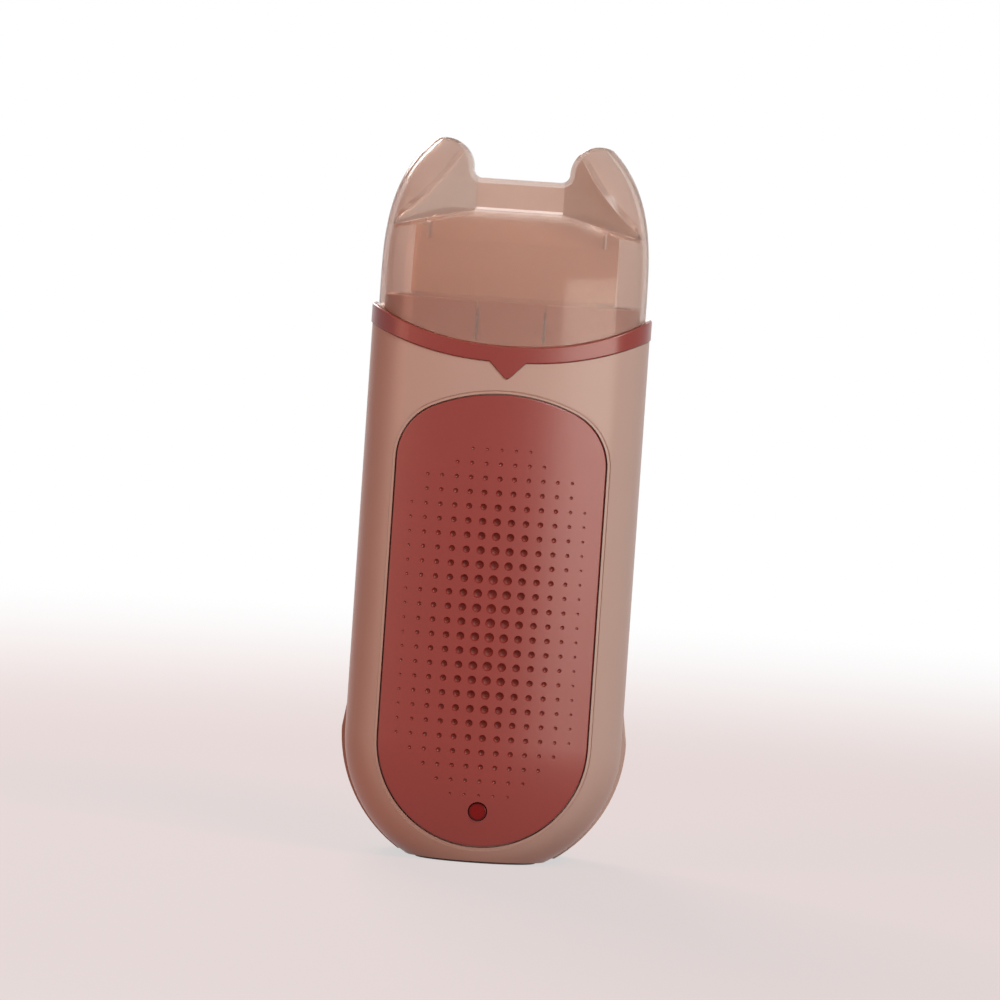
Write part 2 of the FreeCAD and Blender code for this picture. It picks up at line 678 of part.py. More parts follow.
def cap_rims(form):
    """The edges where the dome ends: over the ears, and along the shelf's front and rear."""
    rims = []
    for edge in form.Edges:
        kinds = {type(face.Surface) for face in form.ancestorsOfType(edge, Part.Face)}
        box = edge.BoundBox
        over_ear = Part.Cylinder in kinds and box.ZMin > EAR_Z + CAP_RIM_RISE
        on_shelf = Part.Plane in kinds and BAND_TOP_MID < box.ZMin and box.ZMax < SHELF_Z + THIN
        if Part.BSplineSurface in kinds and (over_ear or on_shelf) and edge.Length > CAP_RIM_LEAST:
            rims.append(edge)
    return rims


def cap_cover():
    outside = cap_form(0)
    outside = outside.makeFillet(CAP_ROUND, cap_rims(outside))
    cap = outside.cut(cap_form(CAP_WALL))
    return cap.cut(dip_region(BAND_TOP_MID + CAP_SEAT, BAND_TOP_DIP, False))


# ---------------------------------------------------------------- cartridge

def cartridge_bottle():
    body = cartridge_section(0, CARTRIDGE_FOOT, BOTTLE_TOP)
    foot_edges = [e for e in body.Edges if e.BoundBox.ZMax < CARTRIDGE_FOOT + THIN]
    body = body.makeFillet(BOTTLE_FOOT_ROUND, foot_edges)
    neck = cartridge_section(-NECK_INSET, BOTTLE_TOP - BOTTLE_WALL, BOTTLE_TOP + NECK_HEIGHT)
    hollow = cartridge_section(-BOTTLE_WALL, CARTRIDGE_FOOT + BOTTLE_WALL, BOTTLE_TOP - BOTTLE_WALL)
    throat = cartridge_section(-NECK_INSET - BOTTLE_WALL, BOTTLE_TOP - 2 * BOTTLE_WALL, FAR)
    return union([body, neck]).cut(union([hollow, throat]))


def wax_fill():
    return cartridge_section(-BOTTLE_WALL - WAX_GAP, CARTRIDGE_FOOT + BOTTLE_WALL + WAX_GAP, WAX_TOP)


def roller_head():
    skirt_foot = BOTTLE_TOP + SEAT_GAP
    skirt = cartridge_section(0, skirt_foot, HEAD_SHOULDER)
    half_x = CARTRIDGE_HALF_X

    def hopper(wall, top_extra):
        low_y = CARTRIDGE_HALF_Y - wall
        high_y = HEAD_TOP_HALF_Y - wall
        run = HEAD_TOP - HEAD_SHOULDER
        step = (low_y - high_y) / run * top_extra
        side = [(-low_y, HEAD_SHOULDER), (low_y, HEAD_SHOULDER),
                (high_y - step, HEAD_TOP + top_extra), (-high_y + step, HEAD_TOP + top_extra)]
        points = [vec(-half_x + wall, y, z) for y, z in side]
        face = Part.Face(Part.makePolygon(points + points[:1]))
        return face.extrude(vec(2 * (half_x - wall), 0, 0))
    outer = hopper(0, 0)
    cheeks = []
    for s in SIDES:
        inside, outside = s * (half_x - CHEEK_THICK), s * half_x
        cheek = block(min(inside, outside), max(inside, outside), -HEAD_TOP_HALF_Y,
                      HEAD_TOP_HALF_Y, HEAD_SHOULDER, CHEEK_TOP)
        tops = [e for e in cheek.Edges if e.BoundBox.ZMin > CHEEK_TOP - THIN
                and abs(e.tangentAt(e.FirstParameter).x) > 0.9]
        cheeks.append(cheek.makeFillet(CHEEK_ROUND, tops))
    head = union([skirt, outer] + cheeks)
    trough_x = half_x - CHEEK_THICK
    trough = block(-trough_x, trough_x, -CARTRIDGE_HALF_Y, CARTRIDGE_HALF_Y, HEAD_SHOULDER, FAR)
    head = head.cut(trough.common(hopper(HEAD_WALL, HEAD_WALL)))
    head = head.cut(cartridge_section(-NECK_INSET + JOIN_GAP, 0,
                                      BOTTLE_TOP + NECK_HEIGHT + JOIN_GAP))
    head = head.cut(block(-THROAT_HALF_X, THROAT_HALF_X, -THROAT_HALF_Y, THROAT_HALF_Y,
                          skirt_foot, HEAD_SHOULDER + HEAD_WALL))
    reach = CARTRIDGE_HALF_X - CHEEK_THICK + STUB_LENGTH
    bore = rod(STUB_RADIUS + STUB_FIT, vec(-reach, 0, ROLLER_Z), vec(1, 0, 0), 2 * reach)
    return head.cut(bore)


def roller():
    half = CARTRIDGE_HALF_X - CHEEK_THICK - ROLLER_END_GAP
    drum = rod(ROLLER_RADIUS, vec(-half, 0, ROLLER_Z), vec(1, 0, 0), 2 * half)
    rims = [e for e in drum.Edges if e.Curve.TypeId == "Part::GeomCircle"]
    drum = drum.makeFillet(ROLLER_ROUND, rims)
    reach = CARTRIDGE_HALF_X - CHEEK_THICK + STUB_LENGTH - STUB_END_GAP
    stub = rod(STUB_RADIUS, vec(-reach, 0, ROLLER_Z), vec(1, 0, 0), 2 * reach)
    return union([drum, stub])


# ---------------------------------------------------------------- heating chamber and heater

def chamber_wall_y():
    return CARTRIDGE_HALF_Y + CHAMBER_FIT + CHAMBER_WALL


def heating_chamber():
    top = DECK_TOP - DECK_THICK - SEAT_GAP
    outer = cartridge_section(CHAMBER_FIT + CHAMBER_WALL, chamber_floor_z(), top)
    flange = cartridge_section(CHAMBER_FIT + CHAMBER_WALL + FLANGE_WIDTH, top - FLANGE_THICK, top)
    flange = flange.common(case_prism(spigot_outer() - SPIGOT_WALL - SEAT_GAP, 0, FAR))
    hollow = cartridge_section(CHAMBER_FIT, CARTRIDGE_FOOT - CHAMBER_FLOOR_GAP, FAR)
    body = union([outer, flange]).cut(hollow)
    return body.cut(union([clamp_screw_hole(s, CLAMP_SCREW_BITE + SEAT_GAP) for s in SIDES]))


def heater_y(layer):
    """y where a layer of the heater stack starts: 0 element, 1 sheet, 2 clamp, 3 screw heads."""
    return chamber_wall_y() + sum((PTC_SIZE[1], SHEET_THICK, CLAMP_THICK)[:layer])


def clamp_leg_x():
    return PTC_SIZE[0] / 2 + CLAMP_FIT


def clamp_screw_x():
    return clamp_leg_x() + CLAMP_THICK + CLAMP_EAR / 2


def clamp_screw_z():
    return PTC_FOOT + PTC_SIZE[2] / 2


def clamp_screw_hole(side, depth):
    start = chamber_wall_y() - depth
    return rod(CLAMP_SCREW_RADIUS + SCREW_FIT, vec(side * clamp_screw_x(), start, clamp_screw_z()),
               vec(0, 1, 0), FAR)


def ptc_element():
    half = PTC_SIZE[0] / 2
    return block(-half, half, heater_y(0), heater_y(1), PTC_FOOT, PTC_FOOT + PTC_SIZE[2])


def heater_insulator():
    half = PTC_SIZE[0] / 2
    return block(-half, half, heater_y(1), heater_y(2), PTC_FOOT - SHEET_MARGIN,
                 PTC_FOOT + PTC_SIZE[2] + SHEET_MARGIN)


def heater_clamp():
    leg_x = clamp_leg_x()
    z0, z1 = PTC_FOOT + CLAMP_INSET, PTC_FOOT + PTC_SIZE[2] - CLAMP_INSET
    parts = [block(-leg_x - CLAMP_THICK, leg_x + CLAMP_THICK, heater_y(2), heater_y(3), z0, z1)]
    for s in SIDES:
        leg = sorted((s * leg_x, s * (leg_x + CLAMP_THICK)))
        ear = sorted((s * leg_x, s * (leg_x + CLAMP_THICK + CLAMP_EAR)))
        parts.append(block(*leg, heater_y(0), heater_y(3), z0, z1))
        parts.append(block(*ear, heater_y(0), heater_y(0) + CLAMP_THICK, z0, z1))
    clamp = union(parts)
    return clamp.cut(union([clamp_screw_hole(s, 0) for s in SIDES]))


def clamp_screws():
    screws = []
    for s in SIDES:
        seat = vec(s * clamp_screw_x(), heater_y(0) + CLAMP_THICK, clamp_screw_z())
        head = rod(SMALL_HEAD_RADIUS, seat, vec(0, 1, 0), SMALL_HEAD_THICK)
        shank = rod(CLAMP_SCREW_RADIUS, seat, vec(0, -1, 0), CLAMP_THICK + CLAMP_SCREW_BITE)
        screws.append(union([head, shank]))
    return Part.makeCompound(screws)


def tab_foot_z():
    return THERMOSTAT_Z - THERMOSTAT_RADIUS - TAB_DROP


def thermostat():
    y = -chamber_wall_y()
    can = rod(THERMOSTAT_RADIUS, vec(0, y, THERMOSTAT_Z), vec(0, -1, 0), THERMOSTAT_THICK)
    tabs = [block(s * TAB_X - TAB_WIDTH / 2, s * TAB_X + TAB_WIDTH / 2, y - TAB_INSET - TAB_THICK,
                  y - TAB_INSET, tab_foot_z(), THERMOSTAT_Z) for s in SIDES]
    return union([can] + tabs)


def thermostat_clip():
    y = -chamber_wall_y()
    z0 = THERMOSTAT_Z + CLIP_RISE - CLIP_WIDTH / 2
    z1 = z0 + CLIP_WIDTH
    inside = THERMOSTAT_RADIUS + CLIP_FIT
    parts = [block(-inside - CLIP_THICK, inside + CLIP_THICK, y - THERMOSTAT_THICK - CLIP_THICK,
                   y - THERMOSTAT_THICK, z0, z1)]
    for s in SIDES:
        leg = sorted((s * inside, s * (inside + CLIP_THICK)))
        foot = sorted((s * inside, s * (inside + CLIP_FOOT)))
        parts.append(block(*leg, y - THERMOSTAT_THICK - CLIP_THICK, y, z0, z1))
        parts.append(block(*foot, y - CLIP_THICK, y, z0, z1))
    return union(parts)


def thermal_fuse():
    z = PTC_FOOT + PTC_SIZE[2] + FUSE_GAP
    y = chamber_wall_y() + FUSE_RADIUS
    barrel = rod(FUSE_RADIUS, vec(-FUSE_LENGTH / 2, y, z), vec(1, 0, 0), FUSE_LENGTH)
    lead = rod(FUSE_LEAD_RADIUS, vec(-FUSE_LENGTH / 2 - FUSE_LEAD, y, z), vec(1, 0, 0),
               FUSE_LENGTH + 2 * FUSE_LEAD)
    return union([barrel, lead])


# ---------------------------------------------------------------- board, lamp and inlet

def circuit_board():
    board = block(-BOARD_HALF, BOARD_HALF, BOARD_Y, BOARD_Y + BOARD_THICK, BOARD_FOOT, BOARD_TOP)
    corners = [e for e in board.Edges if abs(e.tangentAt(e.FirstParameter).y) > 0.9]
    board = board.makeFillet(BOARD_CORNER, corners)
    holes = [rod(BOARD_SCREW_RADIUS + SCREW_FIT, vec(s * BOARD_SCREW_X, -FAR, BOARD_SCREW_Z),
                 vec(0, 1, 0), 2 * FAR) for s in SIDES]
    return board.cut(union(holes))


def board_screws():
    screws = []
    for s in SIDES:
        seat = vec(s * BOARD_SCREW_X, BOARD_Y + BOARD_THICK, BOARD_SCREW_Z)
        head = rod(SMALL_HEAD_RADIUS, seat, vec(0, 1, 0), SMALL_HEAD_THICK)
        shank = rod(BOARD_SCREW_RADIUS, seat, vec(0, -1, 0), BOARD_THICK + BOARD_SCREW_GRIP)
        screws.append(union([head, shank]))
    return Part.makeCompound(screws)


def board_part(radius, x, z, length):
    """A component that lies on the board's rear face, with its two legs."""
    y = BOARD_Y + BOARD_THICK + radius
    barrel = rod(radius, vec(x - length / 2, y, z), vec(1, 0, 0), length)
    reach = length / 2 + PART_LEAD
    legs = [rod(PART_LEAD_RADIUS, vec(x - reach, y, z), vec(1, 0, 0), 2 * reach)]
    for s in SIDES:
        foot = vec(x + s * reach, y, z)
        legs.append(rod(PART_LEAD_RADIUS, foot, vec(0, -1, 0), radius))
    return union([barrel] + legs)


def board_resistor():
    return board_part(*RESISTOR)


def board_diode():
    return board_part(*DIODE)


def lens_back_y():
    """y of the lens's inner end, just behind the shell at the flange's lowest point."""
    return front_y(0, LAMP_Z - LENS_FLANGE, -CASE_WALL) + JOIN_GAP


def indicator_led():
    dome_y = lens_back_y() + LED_GAP + LED_RADIUS
    base = rod(LED_BASE_RADIUS, vec(0, BOARD_Y, LAMP_Z), vec(0, -1, 0), LED_BASE)
    column = rod(LED_RADIUS, vec(0, BOARD_Y, LAMP_Z), vec(0, -1, 0), BOARD_Y - dome_y)
    dome = Part.makeSphere(LED_RADIUS, vec(0, dome_y, LAMP_Z))
    return union([base, column, dome])


def indicator_lens():
    face_y = front_y(0, LAMP_Z, -PANEL_SINK)
    back_y = lens_back_y()
    stem = rod(LENS_RADIUS, vec(0, back_y, LAMP_Z), vec(0, -1, 0), back_y - face_y)
    rim = [e for e in stem.Edges if e.BoundBox.YMax < face_y + THIN]
    stem = stem.makeFillet(LENS_ROUND, rim)
    slab = block(-FAR, FAR, back_y - LENS_FLANGE_THICK, back_y + LENS_FLANGE_THICK, 0, FAR)
    flange = rod(LENS_FLANGE, vec(0, -FAR, LAMP_Z), vec(0, 1, 0), 2 * FAR).common(slab)
    flange = flange.common(case_form(-CASE_WALL - JOIN_GAP))
    return union([stem, flange])


def power_inlet():
    body = inlet_block(0, INLET_FACE - INLET_LENGTH, INLET_FACE)
    corners = [e for e in body.Edges if abs(e.tangentAt(e.FirstParameter).y) > 0.9]
    body = body.makeFillet(INLET_CORNER, corners)
    flange_y = INLET_FACE - INLET_RIM_DEPTH - JOIN_GAP
    flange = inlet_block(INLET_FLANGE, flange_y - INLET_FLANGE_THICK, flange_y)
    recess = [rod(RECESS_RADIUS, vec(s * RECESS_X, INLET_FACE - RECESS_DEPTH, INLET_Z),
                  vec(0, 1, 0), FAR) for s in SIDES]
    recess.append(block(-RECESS_X, RECESS_X, INLET_FACE - RECESS_DEPTH, FAR,
                        INLET_Z - RECESS_WAIST, INLET_Z + RECESS_WAIST))
    holes = [rod(PIN_ROOT_RADIUS, vec(s * PIN_X, -FAR, INLET_Z), vec(0, 1, 0), 2 * FAR)
             for s in SIDES]
    return union([body, flange]).cut(union(recess + holes))


def inlet_pins():
    pins = []
    floor_y = INLET_FACE - RECESS_DEPTH
    for s in SIDES:
        foot = vec(s * PIN_X, floor_y, INLET_Z)
        pin = rod(PIN_RADIUS, foot, vec(0, 1, 0), PIN_LENGTH)
        tip = [e for e in pin.Edges if e.BoundBox.YMin > floor_y + PIN_LENGTH - THIN]
        root = rod(PIN_ROOT_RADIUS, foot, vec(0, -1, 0), INLET_LENGTH - RECESS_DEPTH + PIN_TAIL)
        pins.append(union([pin.makeFillet(PIN_ROUND, tip), root]))
    return Part.makeCompound(pins)


def wire_along(points, radius):
    """A wire whose runs are joined by the largest even arcs that they leave room for."""
    edges = []
    here = points[0]
    for before, corner, after in zip(points, points[1:], points[2:]):
        back = (before - corner).normalize()
        ahead = (after - corner).normalize()
        turn = math.pi - back.getAngle(ahead)
        trim = 0.45 * min(before.distanceToPoint(corner), corner.distanceToPoint(after))
        bend = trim / math.tan(turn / 2)
        start, end = corner + back * trim, corner + ahead * trim
        middle_way = (back + ahead).normalize()
        mid = corner + middle_way * (math.hypot(trim, bend) - bend)
        edges += [line(here, start), arc(start, mid, end)]
        here = end
    edges.append(line(here, points[-1]))
    path = Part.Wire(edges)
    ring = Part.Wire(Part.makeCircle(radius, points[0], points[1] - points[0]))
    tube = path.makePipeShell([ring], True, False)
    expected = math.pi * radius ** 2 * path.Length
    print("wire bends near", round(bend, 1), "volume ratio", round(tube.Volume / expected, 4))
    return tube


def wire_pair(route):
    wires = []
    for s in SIDES:
        wires.append(wire_along([vec(s * x, y, z) for x, y, z in route], WIRE_RADIUS))
    return Part.makeCompound(wires)


def inlet_leads():
    start_y = INLET_FACE - INLET_LENGTH - PIN_TAIL
    board_y = BOARD_Y + BOARD_THICK
    return wire_pair([(PIN_X, start_y, INLET_Z), (PIN_X, start_y - 6, INLET_Z),
                      (8.5, board_y + 6, 19.0), (8.5, board_y, 19.0)])


def heater_leads():
    y = heater_y(0) + PTC_SIZE[1] / 2
    board_y = BOARD_Y + BOARD_THICK
    return wire_pair([(9, y, PTC_FOOT), (9, y, 55), (9, y + 1, 49), (9, y + 0.3, 42),
                      (9, 13, 35.5), (9, 5, 32.5), (8, -2, 31), (7, board_y + 5, 30),
                      (7, board_y, 30)])


def sensor_leads():
    y = -chamber_wall_y() - TAB_INSET - TAB_THICK / 2
    board_y = BOARD_Y + BOARD_THICK / 2
    return wire_pair([(4, y, tab_foot_z()), (4, y, 66), (4, y - 0.5, 56), (4, y, 46),
                      (4, board_y, 38.5), (4, board_y, BOARD_TOP)])


def case_screws():
    screws = []
    for s in SIDES:
        x, z = s * CASE_SCREW_X, CASE_SCREW_Z
        seat = vec(x, CASE_SCREW_SEAT, z)
        head = rod(SCREW_HEAD, seat, vec(0, 1, 0), SCREW_HEAD_THICK)
        shank = rod(SCREW_RADIUS, seat, vec(0, -1, 0), SCREW_LENGTH)
        floor = CASE_SCREW_SEAT + SCREW_HEAD_THICK / 2
        thin = CROSS_WIDTH / 2
        cross = union([block(x - wide, x + wide, floor, FAR, z - tall, z + tall)
                       for wide, tall in ((CROSS_HALF, thin), (thin, CROSS_HALF))])
        screws.append(union([head, shank]).cut(cross))
    return Part.makeCompound(screws)


PARTS = [front_shell, rear_shell, front_panel, base_pad, collar, cap_cover, cartridge_bottle,
         wax_fill, roller_head, roller, heating_chamber, ptc_element, heater_insulator,
         heater_clamp, clamp_screws, thermostat, thermostat_clip, thermal_fuse, circuit_board,
         board_screws, board_resistor, board_diode, indicator_led, indicator_lens, power_inlet,
         inlet_pins, inlet_leads, heater_leads, sensor_leads, case_screws]

os.makedirs("parts", exist_ok=True)
for make in PARTS:
    shape = make()
    shape.exportStep("parts/" + make.__name__ + ".step")
    box = shape.BoundBox
    print(f"{make.__name__:18s} solids {len(shape.Solids)} valid {shape.isValid()} "
          f"x {box.XMin:.1f} {box.XMax:.1f} y {box.YMin:.1f} {box.YMax:.1f} "
          f"z {box.ZMin:.1f} {box.ZMax:.1f} volume {shape.Volume:.0f}")
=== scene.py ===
import math

import bpy
from bpy.props import FloatProperty, FloatVectorProperty, PointerProperty
from mathutils import Matrix, Quaternion, Vector


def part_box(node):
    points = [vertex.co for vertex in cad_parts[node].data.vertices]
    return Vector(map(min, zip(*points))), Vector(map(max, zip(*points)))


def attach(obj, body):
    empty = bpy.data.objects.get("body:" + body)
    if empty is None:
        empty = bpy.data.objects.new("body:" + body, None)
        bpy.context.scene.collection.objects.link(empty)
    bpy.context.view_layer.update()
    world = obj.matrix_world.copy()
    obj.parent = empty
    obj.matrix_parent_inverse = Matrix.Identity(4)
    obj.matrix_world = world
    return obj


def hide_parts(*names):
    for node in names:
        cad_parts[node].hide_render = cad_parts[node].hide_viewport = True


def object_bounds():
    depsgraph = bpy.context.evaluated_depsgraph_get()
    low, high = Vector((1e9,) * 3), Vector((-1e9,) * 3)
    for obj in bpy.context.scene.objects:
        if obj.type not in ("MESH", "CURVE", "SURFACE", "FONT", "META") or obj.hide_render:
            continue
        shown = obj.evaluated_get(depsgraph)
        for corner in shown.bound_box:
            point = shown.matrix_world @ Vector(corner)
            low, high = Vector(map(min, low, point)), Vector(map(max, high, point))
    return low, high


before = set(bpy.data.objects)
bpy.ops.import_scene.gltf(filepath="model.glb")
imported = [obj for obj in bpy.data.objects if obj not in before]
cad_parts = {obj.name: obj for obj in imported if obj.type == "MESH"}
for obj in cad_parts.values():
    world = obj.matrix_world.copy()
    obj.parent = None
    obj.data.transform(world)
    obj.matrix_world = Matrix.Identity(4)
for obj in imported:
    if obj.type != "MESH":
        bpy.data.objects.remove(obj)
CAD_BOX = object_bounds()

bl_info = {
    "name": "Roll-on wax heater",
    "version": (1, 0, 0),
    "blender": (4, 5, 0),
    "location": "3D View > Sidebar > Wax heater",
    "description": "Gives the packed heater its finishes, its dimpled panel and a studio",
    "category": "Object",
}

MM = 0.001
CENTRE = (CAD_BOX[0] + CAD_BOX[1]) / 2

# The panel's face is an arc seen from above. Below FOOT_TOP it also bends back, by FOOT_BEND
# times the square of the way down. A triangle within FACE_LIKENESS of that curve is on it.
FRONT_ARC = 85 * MM
FOOT_TOP = 31 * MM
FOOT_BEND = 5.8
FACE_LIKENESS = math.cos(math.radians(3.5))

# The dimples: how many in each row from the top down, where the top row is, the powers by
# which they swell towards the middle, how deep one is for its half width, and the deepest.
DIMPLE_ROWS = (5, 7, 11, 11) + (13,) * 17 + (11, 9, 7, 5)
DIMPLE_TOP = 104.5 * MM
SWELL_ACROSS = 1.2
SWELL_DOWN = 2.4
DIMPLE_HOLLOW = 0.9
DIMPLE_DEEPEST = 0.95 * MM

# The collar's rose band: its top edge at the middle, and how that edge rises to the sides.
BAND_TOP = 130.3 * MM
BAND_RISE = 8.5 * MM
BAND_REACH = 35 * MM
BAND_POWER = 2.3

# The cap: the web between its ears, the shelf over the roller head, which falls to the sides,
# the half height and pale tint of a painted highlight along the shelf's edge beside the web,
# and the round edge of each ear as x, z and radius.
WEB_HALF = 11 * MM
SHELF_Z = 164 * MM
SHELF_FALL = 0.25
SHELF_HALF = 0.6 * MM
SHELF_HIGHLIGHT_TINT = (1.0, 0.96, 0.94, 1.0)
EAR_CURVE = (66.6 * MM, 207.4 * MM, 59.4 * MM)

# The tread under the base pad: round bars that end inside the pad's rim.
PAD_BARS = 9
PAD_BAR_RADIUS = 0.45 * MM
PAD_RIM = 2.6 * MM

# How far the middle of the thermostat's can is below the middle of its clip.
CAN_BELOW_CLIP = 1 * MM

# Small barrels: half the fuse's sleeve, a resistor's or diode's bare legs, and half of a
# printed ring and of the body as shares of the body's length.
FUSE_HALF = 5.4 * MM
LEG_LENGTH = 1.85 * MM
RING_HALF = 0.045
BARREL_HALF = 0.505

# How light spreads inside honey plastic, for red, green and blue.
HONEY_GLOW = (1.0, 0.5, 0.25)

# The lamps: name, place, width and height in metres, and colour. All aim at LAMP_AIM, and
# the power of each is the studio setting of its name.
LAMPS = (
    ("key", (0.72, -0.9, 1.2), (0.6, 0.6), (0.93, 1.0, 1.0)),
    ("sheen", (0.75, -1.15, 0.17), (0.75, 0.32), (1.0, 0.93, 0.82)),
    ("fill", (-1.1, -0.9, 0.45), (0.7, 0.85), (1.0, 0.47, 0.32)),
    ("back", (-0.4, 1.1, 0.8), (0.6, 0.6), (1.0, 0.97, 0.94)),
)
LAMP_AIM = Vector((0, 0, 0.09))

# The floor: its width, the rise of its backdrop and the bend between them in metres. Up to
# WHITE_FROM from the heater it looks white to the share WHITE_NEAR, so that the shadow stays,
# and beyond WHITE_TO all over. Mirrored rays see a share of that white, and of the air's.
FLOOR_SIZE = 8
WALL_RISE = 4
FLOOR_BEND = 1.6
WHITE_NEAR = 0.62
WHITE_FROM = 0.25
WHITE_TO = 0.95
FLOOR_MIRRORED = 0.85
AIR_MIRRORED = 0.4

# The colour and strength of the air's own light.
AIR_COLOUR = (1.0, 0.86, 0.81, 1)
AIR_STRENGTH = 0.156


# ---------------------------------------------------------------- selecting and shaping

def unselect():
    """Leaves nothing selected, in object mode."""
    if bpy.context.object and bpy.context.object.mode != "OBJECT":
        bpy.ops.object.mode_set(mode="OBJECT")
    bpy.ops.object.select_all(action="DESELECT")


def take_up(piece):
    """Makes one piece the only selected and active one."""
    unselect()
    piece.select_set(True)
    bpy.context.view_layer.objects.active = piece


def whole_mesh(piece, *steps):
    """Runs edit-mode steps on everything in a piece."""
    take_up(piece)
    bpy.ops.object.mode_set(mode="EDIT")
    bpy.ops.mesh.select_all(action="SELECT")
    for step in steps:
        step()
    bpy.ops.object.mode_set(mode="OBJECT")


def merge_points():
    """Joins the points that lie on each other, as in a mesh of loose triangles."""
    bpy.ops.mesh.remove_doubles(threshold=2e-6)


def smooth(piece, degrees=30):
    """Shades a piece smooth, except over edges sharper than an angle."""
    take_up(piece)
    bpy.ops.object.shade_smooth_by_angle(angle=math.radians(degrees))


def settle(piece):
    """Puts a piece's place into its mesh, so that its object sits at the origin."""
    take_up(piece)
    bpy.ops.object.transform_apply(location=True, rotation=True, scale=True)


def last_made(name):
    """Names the piece that was added last and gives it back."""
    piece = bpy.context.object
    piece.name = name
    piece.data.name = name
    return piece


def copy_of_node(node, name):
    """A merged copy of a CAD node's mesh, to be shaped further."""
    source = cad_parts[node]
    piece = bpy.data.objects.new(name, source.data.copy())
    bpy.context.scene.collection.objects.link(piece)
    piece.data.materials.clear()
    whole_mesh(piece, merge_points)
    bpy.ops.mesh.customdata_custom_splitnormals_clear()
    return piece


def join(pieces, name):
    """Makes one piece of several."""
    unselect()
    for piece in pieces:
        piece.select_set(True)
    bpy.context.view_layer.objects.active = pieces[0]
    bpy.ops.object.join()
    return last_made(name)


def carve(piece, cutter):
    """Takes the cutter's shape out of a piece and removes the cutter."""
    take_up(piece)
    cut = piece.modifiers.new("Carve", "BOOLEAN")
    cut.operation = "DIFFERENCE"
    cut.solver = "EXACT"
    cut.object = cutter
    bpy.ops.object.modifier_apply(modifier=cut.name)
    mesh = cutter.data
    bpy.data.objects.remove(cutter)
    bpy.data.meshes.remove(mesh)


def stand_for(piece, body, finish, node):
    """Finishes a piece that stands for a CAD node, and rides it on its body."""
    piece.data.materials.clear()
    piece.data.materials.append(finish)
    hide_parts(node)
    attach(piece, body)


def dress(finish, *nodes):
    """Gives CAD nodes their finish."""
    for name in nodes:
        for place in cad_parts[name].material_slots:
            place.material = finish


# ---------------------------------------------------------------- writing finishes

def linear(value):
    """One sRGB channel, 0 to 1, as light."""
    return value / 12.92 if value <= 0.04045 else ((value + 0.055) / 1.055) ** 2.4


def paint(red, green, blue):
    """A colour said in sRGB from 0 to 255, as light."""
    return tuple(linear(c / 255) for c in (red, green, blue)) + (1.0,)


def shade(colour, factor):
    """A colour made darker or lighter."""
    return tuple(min(1.0, c * factor) for c in colour[:3]) + (1.0,)


class Signal:
    """A number that changes over a surface. Arithmetic on it adds Math nodes."""

    def __init__(self, finish, socket):
        self.finish = finish
        self.socket = socket

    def maths(self, operation, *values):
        """One Math node on signals or plain numbers."""
        return self.finish.node("ShaderNodeMath", {"operation": operation}, *values)

    def __add__(self, other):
        return self.maths("ADD", self, other)

    __radd__ = __add__

    def __sub__(self, other):
        return self.maths("SUBTRACT", self, other)

    def __rsub__(self, other):
        return self.maths("SUBTRACT", other, self)

    def __mul__(self, other):
        return self.maths("MULTIPLY", self, other)

    __rmul__ = __mul__

    def __truediv__(self, other):
        return self.maths("DIVIDE", self, other)

    def __pow__(self, other):
        return self.maths("POWER", self, other)

    def __gt__(self, other):
        return self.maths("GREATER_THAN", self, other)

    def __lt__(self, other):
        return self.maths("LESS_THAN", self, other)

    def __abs__(self):
        return self.maths("ABSOLUTE", self)

    def wave(self, pitch):
        """Swings from -1 to 1 and back once in each pitch, in metres."""
        return self.maths("SINE", self * (math.tau / pitch))

    def larger(self, other):
        """Whichever is more at each place."""
        return self.maths("MAXIMUM", self, other)


